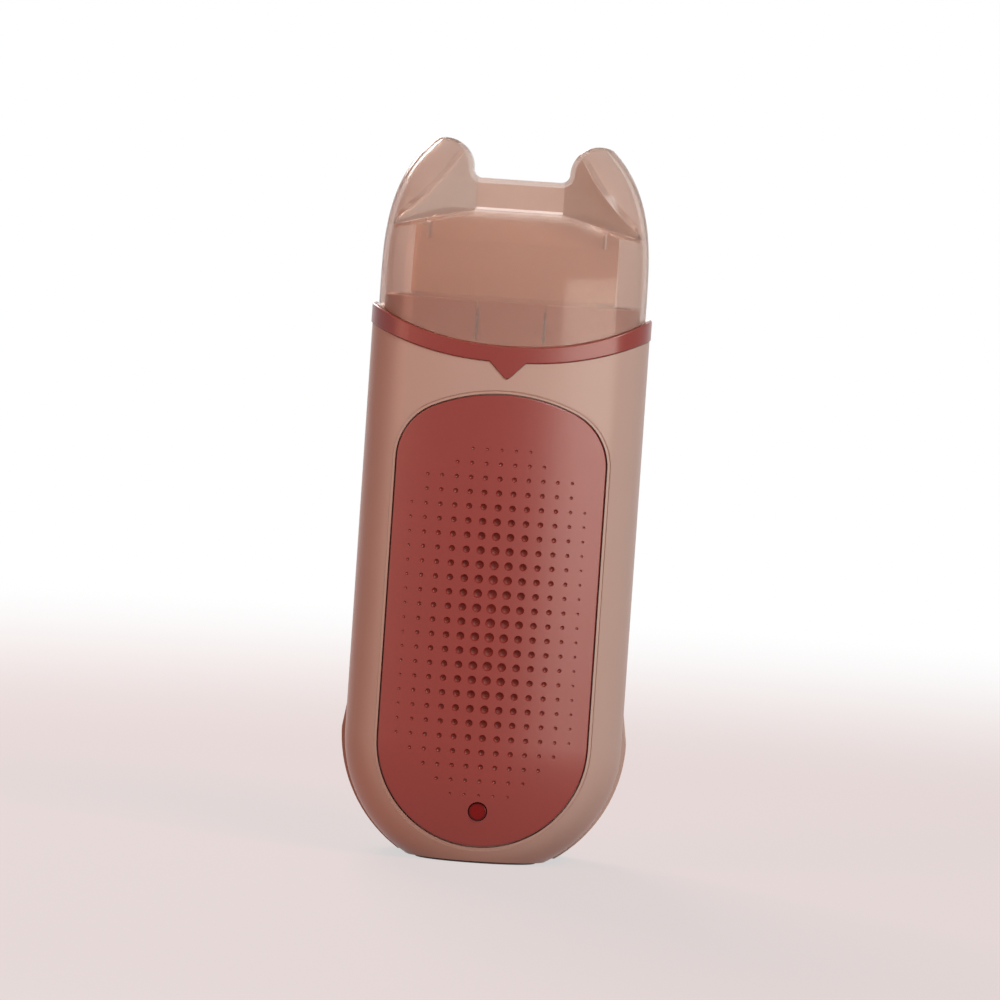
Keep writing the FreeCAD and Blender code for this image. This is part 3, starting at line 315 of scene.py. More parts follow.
class Finish:
    """A material, or a world, that is written out as nodes."""

    def __init__(self, name, kind="materials"):
        self.holder = getattr(bpy.data, kind).new(name)
        self.holder.use_nodes = True
        self.tree = self.holder.node_tree
        self.tree.nodes.clear()

    def node(self, kind, settings, *values, out=0, **named):
        """Adds a node: its settings first, then its sockets by order or by name."""
        made = self.tree.nodes.new(kind)
        for key, value in settings.items():
            setattr(made, key, value)
        for index, value in enumerate(values):
            self.feed(made.inputs[index], value)
        for key, value in named.items():
            self.feed(made.inputs[key.replace("_", " ")], value)
        return Signal(self, made.outputs[out]) if made.outputs else None

    def feed(self, socket, value):
        """Links a signal to a socket, or sets the socket to a plain value."""
        if isinstance(value, Signal):
            self.tree.links.new(value.socket, socket)
        else:
            socket.default_value = value

    def place(self, centre=(0, 0, 0), stretch=(1, 1, 1)):
        """The point on the piece, from a centre, stretched along each axis."""
        point = self.node("ShaderNodeTexCoord", {}, out="Object")
        if centre == (0, 0, 0) and stretch == (1, 1, 1):
            return point
        shift = tuple(-c * s for c, s in zip(centre, stretch))
        return self.node("ShaderNodeMapping", {}, Vector=point, Location=shift, Scale=stretch)

    def axes(self, centre=(0, 0, 0)):
        """The point's x, y and z, from a centre."""
        split = self.node("ShaderNodeSeparateXYZ", {}, self.place(centre))
        return [Signal(self, out) for out in split.socket.node.outputs]

    def grain(self, size, detail=2.0, stretch=(1, 1, 1)):
        """Noise from 0 to 1 whose blotches are about a size across, in metres."""
        return self.node("ShaderNodeTexNoise", {}, Vector=self.place(stretch=stretch),
                         Scale=1 / size, Detail=detail)

    def fade(self, amount, low, high):
        """0 below low, 1 above high, and smooth between."""
        return self.node("ShaderNodeMapRange", {"interpolation_type": "SMOOTHSTEP"}, amount,
                         low, high, 0.0, 1.0)

    def blend(self, amount, first, second):
        """The first colour at 0 and the second at 1."""
        mixed = self.tree.nodes.new("ShaderNodeMix")
        mixed.data_type = "RGBA"
        self.feed(mixed.inputs["Factor"], amount)
        self.feed([s for s in mixed.inputs if s.name == "A" and s.type == "RGBA"][0], first)
        self.feed([s for s in mixed.inputs if s.name == "B" and s.type == "RGBA"][0], second)
        return Signal(self, [s for s in mixed.outputs if s.type == "RGBA"][0])

    def bump(self, height, depth):
        """A surface raised by a height from 0 to 1, times a depth in metres."""
        return self.node("ShaderNodeBump", {}, Height=height, Distance=depth, Strength=1.0)

    def surface(self, **sockets):
        """Ends the finish in a Principled shader and gives back the material."""
        self.node("ShaderNodeOutputMaterial", {}, Surface=self.principled(**sockets))
        return self.holder

    def principled(self, **sockets):
        """The Principled shader alone, to be mixed with another."""
        return self.node("ShaderNodeBsdfPrincipled", {}, **sockets)

    def seen(self, mirrored=1.0):
        """1 on rays that show it straight or through clear plastic, less on mirrored ones,
        and 0 once light has bounced off a dull surface."""
        straight, glossy, through, bounces = [
            self.node("ShaderNodeLightPath", {}, out=out) for out in
            ("Is Camera Ray", "Is Glossy Ray", "Is Transmission Ray", "Diffuse Depth")]
        return straight.larger(through).larger(mirrored * glossy) * (bounces < 0.5)


def moulded(name, colour, gloss, spread=0.05, speck=0.2 * MM, texture=0.004 * MM, coat=0.0,
            glow=0.0, shine=0.5):
    """Moulded plastic: faint mottling, fine flow marks and a fine moulding texture."""
    finish = Finish(name)
    mottle = finish.grain(14 * MM, 3.0)
    flakes = finish.grain(speck, 1.0)
    amount = 0.65 * mottle + 0.35 * flakes
    tint = finish.blend(amount, shade(colour, 1 - spread), shade(colour, 1 + spread))
    rough = gloss - 0.04 + 0.08 * finish.grain(5 * MM, 4.0)
    sockets = {"Base_Color": tint, "Roughness": rough,
               "Normal": finish.bump(finish.grain(0.7 * MM, 2.0), texture), "IOR": 1.5,
               "Specular_IOR_Level": shine}
    if coat:
        sockets.update(Coat_Weight=coat, Coat_Roughness=0.06)
    if glow:
        sockets.update(Subsurface_Weight=glow, Subsurface_Radius=HONEY_GLOW,
                       Subsurface_Scale=1.5 * MM)
    return finish.surface(**sockets)


def metal(name, colour, gloss, stretch, depth=0.003 * MM):
    """Metal with drawn or brushed streaks that run along its least stretched axis."""
    finish = Finish(name)
    streaks = finish.grain(0.25 * MM, 3.0, stretch)
    blotches = finish.grain(6 * MM, 3.0)
    tint = finish.blend(0.5 * streaks + 0.5 * blotches, shade(colour, 0.86), shade(colour, 1.08))
    return finish.surface(Base_Color=tint, Metallic=1.0, Roughness=gloss + 0.16 * streaks,
                          Normal=finish.bump(streaks, depth))


# ---------------------------------------------------------------- settings

class CaseLook(bpy.types.PropertyGroup):
    colour: FloatVectorProperty(name="Case colour", subtype="COLOR", size=4, min=0, max=1,
                                description="Pearl plastic of both shells",
                                default=paint(190, 165, 154))
    gloss: FloatProperty(name="Case roughness", description="Roughness of the shells' polish",
                         default=0.32, min=0.05, max=1, subtype="FACTOR")


class PanelLook(bpy.types.PropertyGroup):
    colour: FloatVectorProperty(name="Rose colour", subtype="COLOR", size=4, min=0, max=1,
                                description="Rose plastic of the panel and collar",
                                default=paint(142, 47, 37))
    pitch: FloatProperty(name="Dimple pitch", description="Distance between dimples",
                         default=3.617 * MM, min=1 * MM, max=8 * MM, subtype="DISTANCE",
                         unit="LENGTH", precision=5)
    widest: FloatProperty(name="Widest dimple", description="Width of the middle dimples",
                          default=2.55 * MM, min=0.5 * MM, max=3.4 * MM, subtype="DISTANCE",
                          unit="LENGTH", precision=5)
    narrowest: FloatProperty(name="Narrowest dimple", description="Width of the outer dimples",
                             default=0.75 * MM, min=0.2 * MM, max=3.4 * MM,
                             subtype="DISTANCE", unit="LENGTH", precision=5)


class CapLook(bpy.types.PropertyGroup):
    tint: FloatVectorProperty(name="Cap tint", subtype="COLOR", size=4, min=0, max=1,
                              description="What one wall of the clear cap lets through",
                              default=(0.715, 0.595, 0.54, 1.0))
    haze: FloatProperty(name="Cap haze", description="Roughness of the clear plastic",
                        default=0.12, min=0, max=0.5, subtype="FACTOR")
    milk: FloatProperty(name="Cap milkiness", description="Share of light the plastic scatters",
                        default=0.2, min=0, max=1, subtype="FACTOR")


class CartridgeLook(bpy.types.PropertyGroup):
    plastic: FloatVectorProperty(name="Cartridge colour", subtype="COLOR", size=4, min=0, max=1,
                                 description="Honey plastic of the bottle, head and roller",
                                 default=paint(172, 135, 110))
    wax: FloatVectorProperty(name="Wax colour", subtype="COLOR", size=4, min=0, max=1,
                             description="The wax, and the bottle's wall in front of it",
                             default=paint(163, 120, 92))


class StudioLook(bpy.types.PropertyGroup):
    azimuth: FloatProperty(name="Camera azimuth", description="Round the heater from its front",
                           default=math.radians(0.8), subtype="ANGLE", unit="ROTATION")
    elevation: FloatProperty(name="Camera elevation", description="Above the horizon",
                             default=math.radians(2.8), subtype="ANGLE", unit="ROTATION")
    lean: FloatProperty(name="Camera roll", description="Leans the heater clockwise",
                        default=math.radians(3.9), subtype="ANGLE", unit="ROTATION")
    distance: FloatProperty(name="Camera distance", description="To the heater's middle",
                            default=1.6, min=0.3, max=5, subtype="DISTANCE", unit="LENGTH")
    lens: FloatProperty(name="Focal length", description="In millimetres", default=227,
                        min=20, max=500, subtype="DISTANCE_CAMERA", unit="CAMERA")
    key: FloatProperty(name="Key lamp", description="Power of the lamp at upper right",
                       default=15.3, min=0, max=500, subtype="POWER", unit="POWER")
    sheen: FloatProperty(name="Sheen lamp", description="Power of the low lamp at the right",
                         default=4.8, min=0, max=500, subtype="POWER", unit="POWER")
    fill: FloatProperty(name="Fill lamp", description="Power of the lamp at the left",
                        default=5.9, min=0, max=500, subtype="POWER", unit="POWER")
    back: FloatProperty(name="Back lamp", description="Power of the lamp behind the heater",
                        default=14, min=0, max=500, subtype="POWER", unit="POWER")


# ---------------------------------------------------------------- operators

class HeaterOperator:
    """What the heater's operators share."""
    bl_options = {"REGISTER", "UNDO"}

    def execute(self, context):
        self.make(context.scene)
        return {"FINISHED"}


class FinishCase(HeaterOperator, bpy.types.Operator):
    """Gives both shells their pearl plastic"""
    bl_idname = "wax_heater.finish_case"
    bl_label = "Case"

    def make(self, scene):
        look = scene.heater_case
        dress(moulded("case_pearl", look.colour, look.gloss, 0.035, 0.12 * MM, shine=0.35),
              "front_shell", "rear_shell")


class MakePad(HeaterOperator, bpy.types.Operator):
    """Cuts the tread into the rubber base pad"""
    bl_idname = "wax_heater.make_pad"
    bl_label = "Base pad"

    def make(self, scene):
        pad = copy_of_node("base_pad", "ribbed_pad")
        low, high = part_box("base_pad")
        step = (high.x - low.x) / (PAD_BARS + 1)
        bars = []
        for i in range(PAD_BARS):
            unselect()
            x = low.x + step * (i + 1)
            front, rear = (self.edge_y(x, (low.z + high.z) / 2, way) for way in (1, -1))
            bpy.ops.mesh.primitive_cylinder_add(
                vertices=12, radius=PAD_BAR_RADIUS, depth=rear - front - 2 * PAD_RIM,
                location=(x, (front + rear) / 2, 0), rotation=(math.pi / 2, 0, 0))
            bars.append(bpy.context.object)
            settle(bars[-1])
        carve(pad, join(bars, "tread_bars"))
        smooth(pad)
        finish = Finish("pad_rubber")
        dust = finish.fade(finish.grain(1.1 * MM, 5.0), 0.45, 0.8)
        tint = finish.blend(dust, paint(84, 78, 76), paint(108, 101, 98))
        rubber = finish.surface(Base_Color=tint, Roughness=0.72 + 0.16 * dust,
                                Normal=finish.bump(finish.grain(0.3 * MM, 3.0), 0.02 * MM))
        stand_for(pad, "heater", rubber, "base_pad")

    def edge_y(self, x, z, way):
        """Where the pad's edge is, met from the front (1) or the rear (-1)."""
        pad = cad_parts["base_pad"]
        hit, point, _, _ = pad.ray_cast(Vector((x, -way, z)), Vector((0, way, 0)))
        if not hit:
            raise RuntimeError(f"the pad has no edge at {x:.4f}")
        return point.y


class MakePanel(HeaterOperator, bpy.types.Operator):
    """Presses the grid of dimples into the rose front panel"""
    bl_idname = "wax_heater.make_panel"
    bl_label = "Front panel"

    def make(self, scene):
        look = scene.heater_panel
        panel = copy_of_node("front_panel", "dimpled_panel")
        carve(panel, self.dimples(look))
        smooth(panel, 26)
        self.true_normals(panel.data)
        stand_for(panel, "heater", self.rose(look.colour), "front_panel")

    def true_normals(self, mesh):
        """Shades the face between the dimples by its true curve."""
        ways = [corner.vector.copy() for corner in mesh.corner_normals]
        for polygon in mesh.polygons:
            if polygon.normal.dot(face_way(polygon.center)) > FACE_LIKENESS:
                for corner in polygon.loop_indices:
                    point = mesh.vertices[mesh.loops[corner].vertex_index].co
                    ways[corner] = face_way(point)
        mesh.normals_split_custom_set(ways)

    def rose(self, colour):
        """Rose plastic with painted shade that darkens it down in the dimples."""
        finish = Finish("rose_panel")
        x, y, z = finish.axes()
        arc = (FRONT_ARC * FRONT_ARC - x * x) ** 0.5
        foot = (FOOT_TOP - z).larger(0.0)
        face = FOOT_BEND * foot * foot - arc + FRONT_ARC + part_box("front_panel")[0].y
        # How deep each point lies in its dimple: it darkens the colour below as painted shade, and
        # makes the plastic rougher and less coated.
        dimple_shade = finish.fade(y - face, 0.2 * MM, 0.8 * MM)
        mottle = finish.grain(14 * MM, 3.0)
        tint = finish.blend(mottle, shade(colour, 0.96), shade(colour, 1.04))
        # Painted shade down in the dimples.
        tint = finish.blend(0.45 * dimple_shade, tint, shade(colour, 0.3))
        rough = 0.34 + 0.08 * finish.grain(5 * MM, 4.0) + 0.3 * dimple_shade
        return finish.surface(Base_Color=tint, Roughness=rough, IOR=1.5,
                              Coat_Weight=0.77 - 0.7 * dimple_shade, Coat_Roughness=0.28,
                              Normal=finish.bump(finish.grain(0.7 * MM), 0.004 * MM))

    def dimples(self, look):
        """Balls that sit in the panel's face, widest at the middle of the grid."""
        unselect()
        bpy.ops.mesh.primitive_uv_sphere_add(segments=14, ring_count=8, radius=1,
                                             rotation=(math.pi / 2, 0, 0))
        ball = bpy.context.object
        settle(ball)
        balls = []
        last_row = len(DIMPLE_ROWS) - 1
        last_column = (max(DIMPLE_ROWS) - 1) / 2
        for row, count in enumerate(DIMPLE_ROWS):
            z = DIMPLE_TOP - row * look.pitch
            rise = 1 - abs(2 * row / last_row - 1) ** SWELL_DOWN
            for i in range(count):
                column = i - (count - 1) / 2
                x = column * look.pitch
                swell = rise * (1 - abs(column / last_column) ** SWELL_ACROSS)
                width = look.narrowest + (look.widest - look.narrowest) * swell
                balls.append(self.placed(ball, x, z, width / 2))
        mesh = ball.data
        bpy.data.objects.remove(ball)
        bpy.data.meshes.remove(mesh)
        return join(balls, "dimple_balls")

    def placed(self, ball, x, z, half):
        """One ball whose cap below the face has the dimple's half width."""
        depth = min(DIMPLE_HOLLOW * half, DIMPLE_DEEPEST)
        radius = (half * half + depth * depth) / (2 * depth)
        copy = bpy.data.objects.new("ball", ball.data.copy())
        bpy.context.scene.collection.objects.link(copy)
        face, outwards = panel_face(x, z)
        centre = face + outwards * (radius - depth)
        copy.data.transform(Matrix.Translation(centre) @ Matrix.Scale(radius, 4))
        return copy


def face_way(point):
    """The direction that the panel's smooth face looks in beside a point."""
    side = point.x / math.sqrt(FRONT_ARC ** 2 - point.x ** 2)
    return Vector((side, -1, -2 * FOOT_BEND * max(0, FOOT_TOP - point.z))).normalized()


def panel_face(x, z):
    """The point of the panel's face at a place, and the direction it faces."""
    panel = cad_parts["front_panel"]
    before = Vector((x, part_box("front_panel")[0].y - 1, z))
    hit, point, normal, _ = panel.ray_cast(before, Vector((0, 1, 0)))
    if not hit:
        raise RuntimeError(f"a dimple at {x:.4f}, {z:.4f} is off the panel")
    return point, normal


class FinishCollar(HeaterOperator, bpy.types.Operator):
    """Gives the collar its rose band and paler spigot"""
    bl_idname = "wax_heater.finish_collar"
    bl_label = "Collar"

    def make(self, scene):
        rose = scene.heater_panel.colour
        finish = Finish("rose_collar")
        x, _, z = finish.axes()
        edge = BAND_TOP + BAND_RISE * (abs(x) / BAND_REACH) ** BAND_POWER
        spigot = finish.fade(z - edge, -0.1 * MM, 0.1 * MM)
        mottle = finish.grain(12 * MM, 3.0)
        tint = finish.blend(mottle, shade(rose, 0.93), shade(rose, 1.03))
        tint = finish.blend(spigot, tint, paint(147, 91, 75))
        rough = 0.32 + 0.1 * spigot + 0.06 * finish.grain(4 * MM, 4.0)
        dress(finish.surface(Base_Color=tint, Roughness=rough, Coat_Weight=0.62 - 0.62 * spigot,
                             Coat_Roughness=0.26, IOR=1.5,
                             Normal=finish.bump(finish.grain(0.7 * MM), 0.004 * MM)), "collar")


class FinishCap(HeaterOperator, bpy.types.Operator):
    """Makes the cap clear plastic that lets the lamps through"""
    bl_idname = "wax_heater.finish_cap"
    bl_label = "Cap"

    def make(self, scene):
        look = scene.heater_cap
        finish = Finish("cap_clear")
        haze = look.haze - 0.02 + 0.04 * finish.grain(9 * MM, 3.0)
        x, _, z = finish.axes()
        across = abs(x)
        from_x, from_z = across - EAR_CURVE[0], z - EAR_CURVE[1]
        beside_ear = (from_x * from_x + from_z * from_z) ** 0.5 > EAR_CURVE[2]
        beyond_web = across > WEB_HALF
        above_shelf = z + SHELF_FALL * across > SHELF_Z + SHELF_FALL * WEB_HALF
        # Painted shade: the facets beside the ears, outside the web and above the shelf, get a
        # darker tint.
        facet_shade = beside_ear * beyond_web * above_shelf
        tint = finish.blend(facet_shade, look.tint, shade(look.tint, 0.8))
        # Painted highlight: a pale tint along the shelf's edge beside the web, where the coat is
        # also glossier.
        shelf = (across < WEB_HALF) * (abs(z - SHELF_Z) < SHELF_HALF)
        tint = finish.blend(shelf, tint, SHELF_HIGHLIGHT_TINT)
        clear = finish.principled(Base_Color=tint, Transmission_Weight=1 - look.milk,
                                  IOR=1.25, Roughness=haze, Coat_Weight=shelf,
                                  Coat_Roughness=0.06,
                                  Normal=finish.bump(finish.grain(7 * MM, 1.0), 0.004 * MM))
        open_way = finish.node("ShaderNodeBsdfTransparent", {}, Color=look.tint)
        lamp_ray = finish.node("ShaderNodeLightPath", {}, out="Is Shadow Ray")
        both = finish.node("ShaderNodeMixShader", {}, lamp_ray, clear, open_way)
        finish.node("ShaderNodeOutputMaterial", {}, Surface=both)
        dress(finish.holder, "cap_cover")


class FinishCartridge(HeaterOperator, bpy.types.Operator):
    """Gives the bottle, wax, roller head and roller their honey plastics"""
    bl_idname = "wax_heater.finish_cartridge"
    bl_label = "Cartridge"

    def make(self, scene):
        look = scene.heater_cartridge
        honey = look.plastic
        dress(moulded("head_honey", honey, 0.24, 0.05, coat=0.2, glow=0.25), "roller_head")
        dress(moulded("roller_honey", shade(honey, 1.12), 0.18, 0.04, coat=0.4, glow=0.25),
              "roller")
        bottle = Finish("bottle_honey")
        _, _, z = bottle.axes()
        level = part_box("wax_fill")[1].z
        empty = bottle.fade(z, level - 0.25 * MM, level + 0.25 * MM)
        cloud = bottle.grain(16 * MM, 3.0)
        filled = bottle.blend(cloud, shade(look.wax, 0.9), shade(look.wax, 1.1))
        tint = bottle.blend(empty, filled, shade(honey, 1.1))
        dress(bottle.surface(Base_Color=tint, Roughness=0.16 + 0.1 * bottle.grain(6 * MM, 4.0),
                             Subsurface_Weight=0.3, Subsurface_Radius=HONEY_GLOW,
                             Subsurface_Scale=2 * MM, Coat_Weight=0.3, Coat_Roughness=0.05,
                             Normal=bottle.bump(bottle.grain(3 * MM, 2.0), 0.01 * MM)),
              "cartridge_bottle")
        wax = Finish("wax_honey")
        swirl = wax.node("ShaderNodeTexNoise", {}, Vector=wax.place(), Scale=70.0, Detail=5.0,
                         Distortion=1.4)
        tint = wax.blend(swirl, shade(look.wax, 0.72), shade(look.wax, 1.15))
        dress(wax.surface(Base_Color=tint, Roughness=0.3 + 0.2 * swirl, Subsurface_Weight=0.4,
                          Subsurface_Radius=(1.0, 0.45, 0.15), Subsurface_Scale=3 * MM,
                          Normal=wax.bump(wax.grain(2.5 * MM, 3.0), 0.05 * MM)), "wax_fill")


class FinishChamber(HeaterOperator, bpy.types.Operator):
    """Finishes the heating chamber, its element, film, clamp and screws"""
    bl_idname = "wax_heater.finish_chamber"
    bl_label = "Heating chamber"

    def make(self, scene):
        dress(metal("chamber_aluminium", paint(206, 206, 208), 0.3, (1, 1, 0.03)),
              "heating_chamber")
        dress(metal("clamp_aluminium", paint(200, 200, 203), 0.34, (0.03, 1, 1)),
              "heater_clamp")
        dress(metal("clamp_screw_zinc", paint(176, 176, 178), 0.28, (1, 1, 1)), "clamp_screws")
        ceramic = Finish("element_ceramic")
        pores = ceramic.fade(ceramic.grain(0.35 * MM, 2.0), 0.3, 0.5)
        tint = ceramic.blend(pores, paint(120, 120, 116), paint(150, 150, 145))
        dress(ceramic.surface(Base_Color=tint, Roughness=0.75 + 0.1 * pores,
                              Normal=ceramic.bump(pores, 0.02 * MM)), "ptc_element")
        film = Finish("insulator_film")
        x, _, z = film.axes()
        weave = x.wave(0.8 * MM) * z.wave(0.8 * MM)
        tint = film.blend(film.grain(7 * MM, 3.0), paint(176, 112, 34), paint(206, 142, 52))
        dress(film.surface(Base_Color=tint, Roughness=0.26 + 0.06 * weave,
                           Normal=film.bump(weave, 0.006 * MM)), "heater_insulator")


class FinishSensors(HeaterOperator, bpy.types.Operator):
    """Finishes the thermostat, its clip and the thermal fuse"""
    bl_idname = "wax_heater.finish_sensors"
    bl_label = "Thermostat and fuse"

    def make(self, scene):
        low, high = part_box("thermostat_clip")
        can = Finish("thermostat_steel")
        centre = (0, 0, (low.z + high.z) / 2 - CAN_BELOW_CLIP)
        x, _, z = can.axes(centre)
        rings = ((x * x + z * z) ** 0.5).wave(0.5 * MM)
        blot = can.grain(3 * MM, 4.0)
        tint = can.blend(blot, paint(164, 164, 166), paint(196, 196, 198))
        dress(can.surface(Base_Color=tint, Metallic=1.0, Roughness=0.3 + 0.12 * blot,
                          Normal=can.bump(rings, 0.004 * MM)), "thermostat")
        dress(metal("clip_spring_steel", paint(150, 152, 158), 0.3, (0.05, 1, 1)),
              "thermostat_clip")
        fuse = Finish("fuse_sleeve")
        x, _, _ = fuse.axes()
        ends = abs(x) > FUSE_HALF
        mark = fuse.grain(1.5 * MM, 3.0)
        sleeve = fuse.blend(mark, paint(222, 214, 200), paint(206, 196, 178))
        tint = fuse.blend(ends, sleeve, paint(190, 190, 190))
        dress(fuse.surface(Base_Color=tint, Metallic=ends, Roughness=0.55 - 0.2 * ends,
                           Normal=fuse.bump(mark, 0.01 * MM)), "thermal_fuse")


class FinishBoard(HeaterOperator, bpy.types.Operator):
    """Finishes the circuit board, its parts, and the lamp with its lens"""
    bl_idname = "wax_heater.finish_board"
    bl_label = "Circuit board and lamp"

    def make(self, scene):
        self.laminate()
        dress(metal("board_screw_zinc", paint(176, 176, 178), 0.28, (1, 1, 1)), "board_screws")
        self.banded("resistor_lacquer", "board_resistor", paint(120, 152, 178), [
            (0.12, paint(120, 62, 34)), (0.3, paint(34, 34, 34)), (0.48, paint(190, 40, 34)),
            (0.82, paint(190, 150, 60))])
        self.banded("diode_epoxy", "board_diode", paint(46, 46, 48), [(0.74, paint(204, 204, 206))])
        self.lamp()
        self.lens()

    def laminate(self):
        """Green fibre board with tracks under its lacquer."""
        board = Finish("board_laminate")
        x, _, z = board.axes()
        tracks = board.node("ShaderNodeTexBrick", {"offset": 0.5, "squash": 1.0},
                            Vector=board.place(stretch=(1, 0, 1)), Scale=1.0,
                            Color1=(0, 0, 0, 1), Color2=(0, 0, 0, 1), Mortar=(1, 1, 1, 1),
                            Mortar_Size=0.35 * MM, Brick_Width=6 * MM, Row_Height=3 * MM, out="Fac")
        fibre = x.wave(0.5 * MM) * z.wave(0.5 * MM)
        green = board.blend(board.grain(5 * MM, 3.0), paint(42, 92, 58), paint(54, 108, 70))
        tint = board.blend(tracks, green, paint(72, 132, 86))
        height = tracks + 0.1 * fibre
        dress(board.surface(Base_Color=tint, Roughness=0.34 + 0.05 * fibre,
                            Normal=board.bump(height, 0.02 * MM)), "circuit_board")

    def lamp(self):
        """Cloudy red epoxy."""
        lamp = Finish("lamp_epoxy")
        cloud = lamp.grain(1.2 * MM, 2.0)
        dress(lamp.surface(Base_Color=lamp.blend(cloud, paint(176, 44, 38), paint(206, 70, 58)),
                           Roughness=0.12 + 0.05 * cloud, Subsurface_Weight=0.4,
                           Subsurface_Radius=(1.0, 0.2, 0.15), Subsurface_Scale=1 * MM),
              "indicator_led")

    def lens(self):
        """Dark red plastic with painted shade darker at its rim, and fine rings that spread the
        light.
        """
        lens = Finish("lens_red")
        low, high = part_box("indicator_lens")
        centre = (0, 0, (low.z + high.z) / 2)
        x, _, z = lens.axes(centre)
        radius = (x * x + z * z) ** 0.5
        # Painted shade: the lens darkens towards its rim.
        rim = lens.fade(radius, 1.5 * MM, 2.3 * MM)
        tint = lens.blend(rim, paint(122, 15, 13), paint(72, 7, 7))
        dress(lens.surface(Base_Color=tint, Roughness=0.22 + 0.06 * lens.grain(0.8 * MM, 2.0),
                           IOR=1.3, Normal=lens.bump(radius.wave(0.6 * MM), 0.006 * MM)),
              "indicator_lens")

    def banded(self, name, node, body, bands):
        """A barrel with printed rings across its length, and tinned legs."""
        low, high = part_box(node)
        finish = Finish(name)
        x, _, _ = finish.axes()
        along = (x - (low.x + LEG_LENGTH)) / (high.x - low.x - 2 * LEG_LENGTH)
        tint = finish.blend(finish.grain(0.8 * MM, 3.0), shade(body, 0.9), shade(body, 1.08))
        for place, colour in bands:
            ring = abs(along - place) < RING_HALF
            tint = finish.blend(ring, tint, colour)
        leg = abs(along - 0.5) > BARREL_HALF
        tint = finish.blend(leg, tint, paint(200, 200, 202))
        dress(finish.surface(Base_Color=tint, Metallic=leg, Roughness=0.36 - 0.08 * leg,
                             Normal=finish.bump(finish.grain(0.5 * MM), 0.008 * MM)), node)


class FinishInlet(HeaterOperator, bpy.types.Operator):
    """Finishes the power inlet, its pins and the case screws"""
    bl_idname = "wax_heater.finish_inlet"
    bl_label = "Power inlet and case screws"

    def make(self, scene):
        dress(moulded("inlet_nylon", paint(42, 41, 42), 0.46, 0.12, texture=0.02 * MM),
              "power_inlet")
        dress(metal("pin_plating", paint(206, 188, 140), 0.2, (1, 0.04, 1)), "inlet_pins")
        dress(metal("case_screw_zinc", paint(172, 172, 174), 0.27, (1, 1, 1)), "case_screws")


class FinishWires(HeaterOperator, bpy.types.Operator):
    """Finishes the silicone-sleeved wires"""
    bl_idname = "wax_heater.finish_wires"
    bl_label = "Wires"

    def make(self, scene):
        for name, colour, nodes in (
                ("wire_white", paint(214, 210, 200), ("inlet_leads", "sensor_leads")),
                ("wire_red", paint(168, 52, 44), ("heater_leads",))):
            finish = Finish(name)
            dust = finish.fade(finish.grain(1.6 * MM, 4.0), 0.5, 0.75)
            tint = finish.blend(dust, colour, shade(colour, 0.86))
            dress(finish.surface(Base_Color=tint, Roughness=0.48 + 0.2 * dust,
                                 Normal=finish.bump(finish.grain(0.4 * MM), 0.01 * MM)), *nodes)


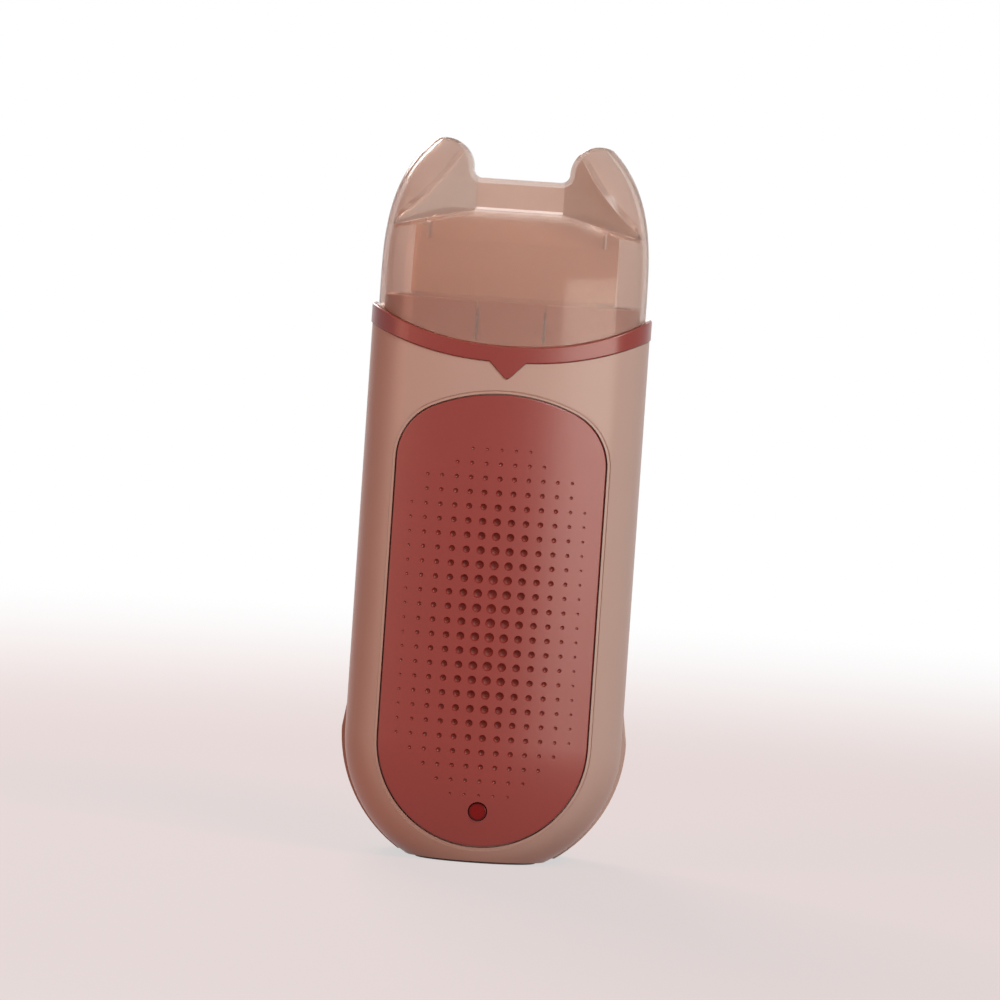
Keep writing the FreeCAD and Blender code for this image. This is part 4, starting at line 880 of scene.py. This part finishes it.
class MakeStudio(HeaterOperator, bpy.types.Operator):
    """Sets up the floor, the lamps, the surroundings and the camera"""
    bl_idname = "wax_heater.make_studio"
    bl_label = "Studio"

    def make(self, scene):
        look = scene.heater_studio
        self.sweep()
        for name, place, size, colour in LAMPS:
            self.lamp(f"{name}_lamp", place, size, getattr(look, name), colour)
        self.surroundings(scene)
        self.camera(look, scene)
        scene.view_settings.view_transform = "Standard"

    def sweep(self):
        """A floor that curves up into a backdrop."""
        unselect()
        bpy.ops.mesh.primitive_plane_add(size=FLOOR_SIZE, location=(0, 0.5, 0))
        sweep = last_made("studio_sweep")
        settle(sweep)
        far = max(v.co.y for v in sweep.data.vertices)
        self.pick(sweep, lambda co: abs(co.y - far) < 1 * MM)
        bpy.ops.object.mode_set(mode="EDIT")
        bpy.ops.mesh.extrude_region_move(TRANSFORM_OT_translate={"value": (0, 0, WALL_RISE)})
        bpy.ops.object.mode_set(mode="OBJECT")
        self.pick(sweep, lambda co: abs(co.y - far) < 1 * MM and co.z < 1 * MM)
        bpy.ops.object.mode_set(mode="EDIT")
        bpy.ops.mesh.bevel(offset=FLOOR_BEND, segments=24, affect="EDGES")
        bpy.ops.object.mode_set(mode="OBJECT")
        smooth(sweep, 40)
        finish = Finish("studio_paper")
        fibre = finish.grain(3 * MM, 3.0)
        tint = finish.blend(fibre, paint(148, 72, 57), paint(155, 79, 64))
        paper = finish.principled(Base_Color=tint, Roughness=0.85)
        white = finish.node("ShaderNodeEmission", {}, (1, 1, 1, 1), 1.0)
        x, y, _ = finish.axes()
        away = finish.fade((x * x + y * y) ** 0.5, WHITE_FROM, WHITE_TO)
        share = finish.seen(FLOOR_MIRRORED) * (WHITE_NEAR + (1 - WHITE_NEAR) * away)
        both = finish.node("ShaderNodeMixShader", {}, share, paper, white)
        finish.node("ShaderNodeOutputMaterial", {}, Surface=both)
        sweep.data.materials.append(finish.holder)

    def pick(self, piece, wanted):
        """Selects the edges whose ends all pass a test."""
        take_up(piece)
        for polygon in piece.data.polygons:
            polygon.select = False
        for vertex in piece.data.vertices:
            vertex.select = wanted(vertex.co)
        for edge in piece.data.edges:
            edge.select = all(piece.data.vertices[i].select for i in edge.vertices)
        bpy.context.tool_settings.mesh_select_mode = (False, True, False)

    def lamp(self, name, place, size, power, colour):
        """A flat lamp that aims at the heater."""
        unselect()
        aim = LAMP_AIM - Vector(place)
        bpy.ops.object.light_add(type="AREA", location=place,
                                 rotation=aim.to_track_quat("-Z", "Y").to_euler())
        lamp = last_made(name)
        lamp.data.shape = "RECTANGLE"
        lamp.data.size, lamp.data.size_y = size
        lamp.data.energy = power
        lamp.data.color = colour

    def surroundings(self, scene):
        """Warm, dim air that looks white."""
        air = Finish("studio_air", "worlds")
        dim = air.node("ShaderNodeBackground", {}, AIR_COLOUR, AIR_STRENGTH)
        white = air.node("ShaderNodeBackground", {}, (1, 1, 1, 1), 1.0)
        both = air.node("ShaderNodeMixShader", {}, air.seen(AIR_MIRRORED), dim, white)
        air.node("ShaderNodeOutputWorld", {}, Surface=both)
        scene.world = air.holder

    def camera(self, look, scene):
        """A camera round the heater's middle, rolled so that the heater leans."""
        back = Vector((math.sin(look.azimuth) * math.cos(look.elevation),
                       -math.cos(look.azimuth) * math.cos(look.elevation),
                       math.sin(look.elevation)))
        aim = (-back).to_track_quat("-Z", "Y") @ Quaternion((0, 0, 1), look.lean)
        unselect()
        bpy.ops.object.camera_add(location=CENTRE + back * look.distance, rotation=aim.to_euler())
        camera = last_made("studio_camera")
        camera.data.lens = look.lens
        camera.data.clip_start = 0.05
        camera.data.clip_end = 50
        scene.camera = camera


MAKERS = (FinishCase, MakePad, MakePanel, FinishCollar, FinishCap, FinishCartridge,
          FinishChamber, FinishSensors, FinishBoard, FinishInlet, FinishWires, MakeStudio)


class HeaterPanel(bpy.types.Panel):
    """Lists the heater's steps and settings"""
    bl_idname = "VIEW3D_PT_wax_heater"
    bl_label = "Wax heater"
    bl_space_type = "VIEW_3D"
    bl_region_type = "UI"
    bl_category = "Wax heater"

    def draw(self, context):
        for maker in MAKERS:
            self.layout.operator(maker.bl_idname)
        for group in LOOKS:
            box = self.layout.box()
            look = getattr(context.scene, group)
            for name in look.bl_rna.properties.keys():
                if name not in ("rna_type", "name"):
                    box.prop(look, name)


LOOKS = {"heater_case": CaseLook, "heater_panel": PanelLook, "heater_cap": CapLook,
         "heater_cartridge": CartridgeLook, "heater_studio": StudioLook}
CLASSES = (*LOOKS.values(), *MAKERS, HeaterPanel)


def register():
    for made in CLASSES:
        bpy.utils.register_class(made)
    for name, group in LOOKS.items():
        setattr(bpy.types.Scene, name, PointerProperty(type=group))


def unregister():
    for name in LOOKS:
        delattr(bpy.types.Scene, name)
    for made in reversed(CLASSES):
        bpy.utils.unregister_class(made)


def main():
    register()
    for maker in MAKERS:
        group, name = maker.bl_idname.split(".")
        getattr(getattr(bpy.ops, group), name)()


if __name__ == "__main__":
    main()
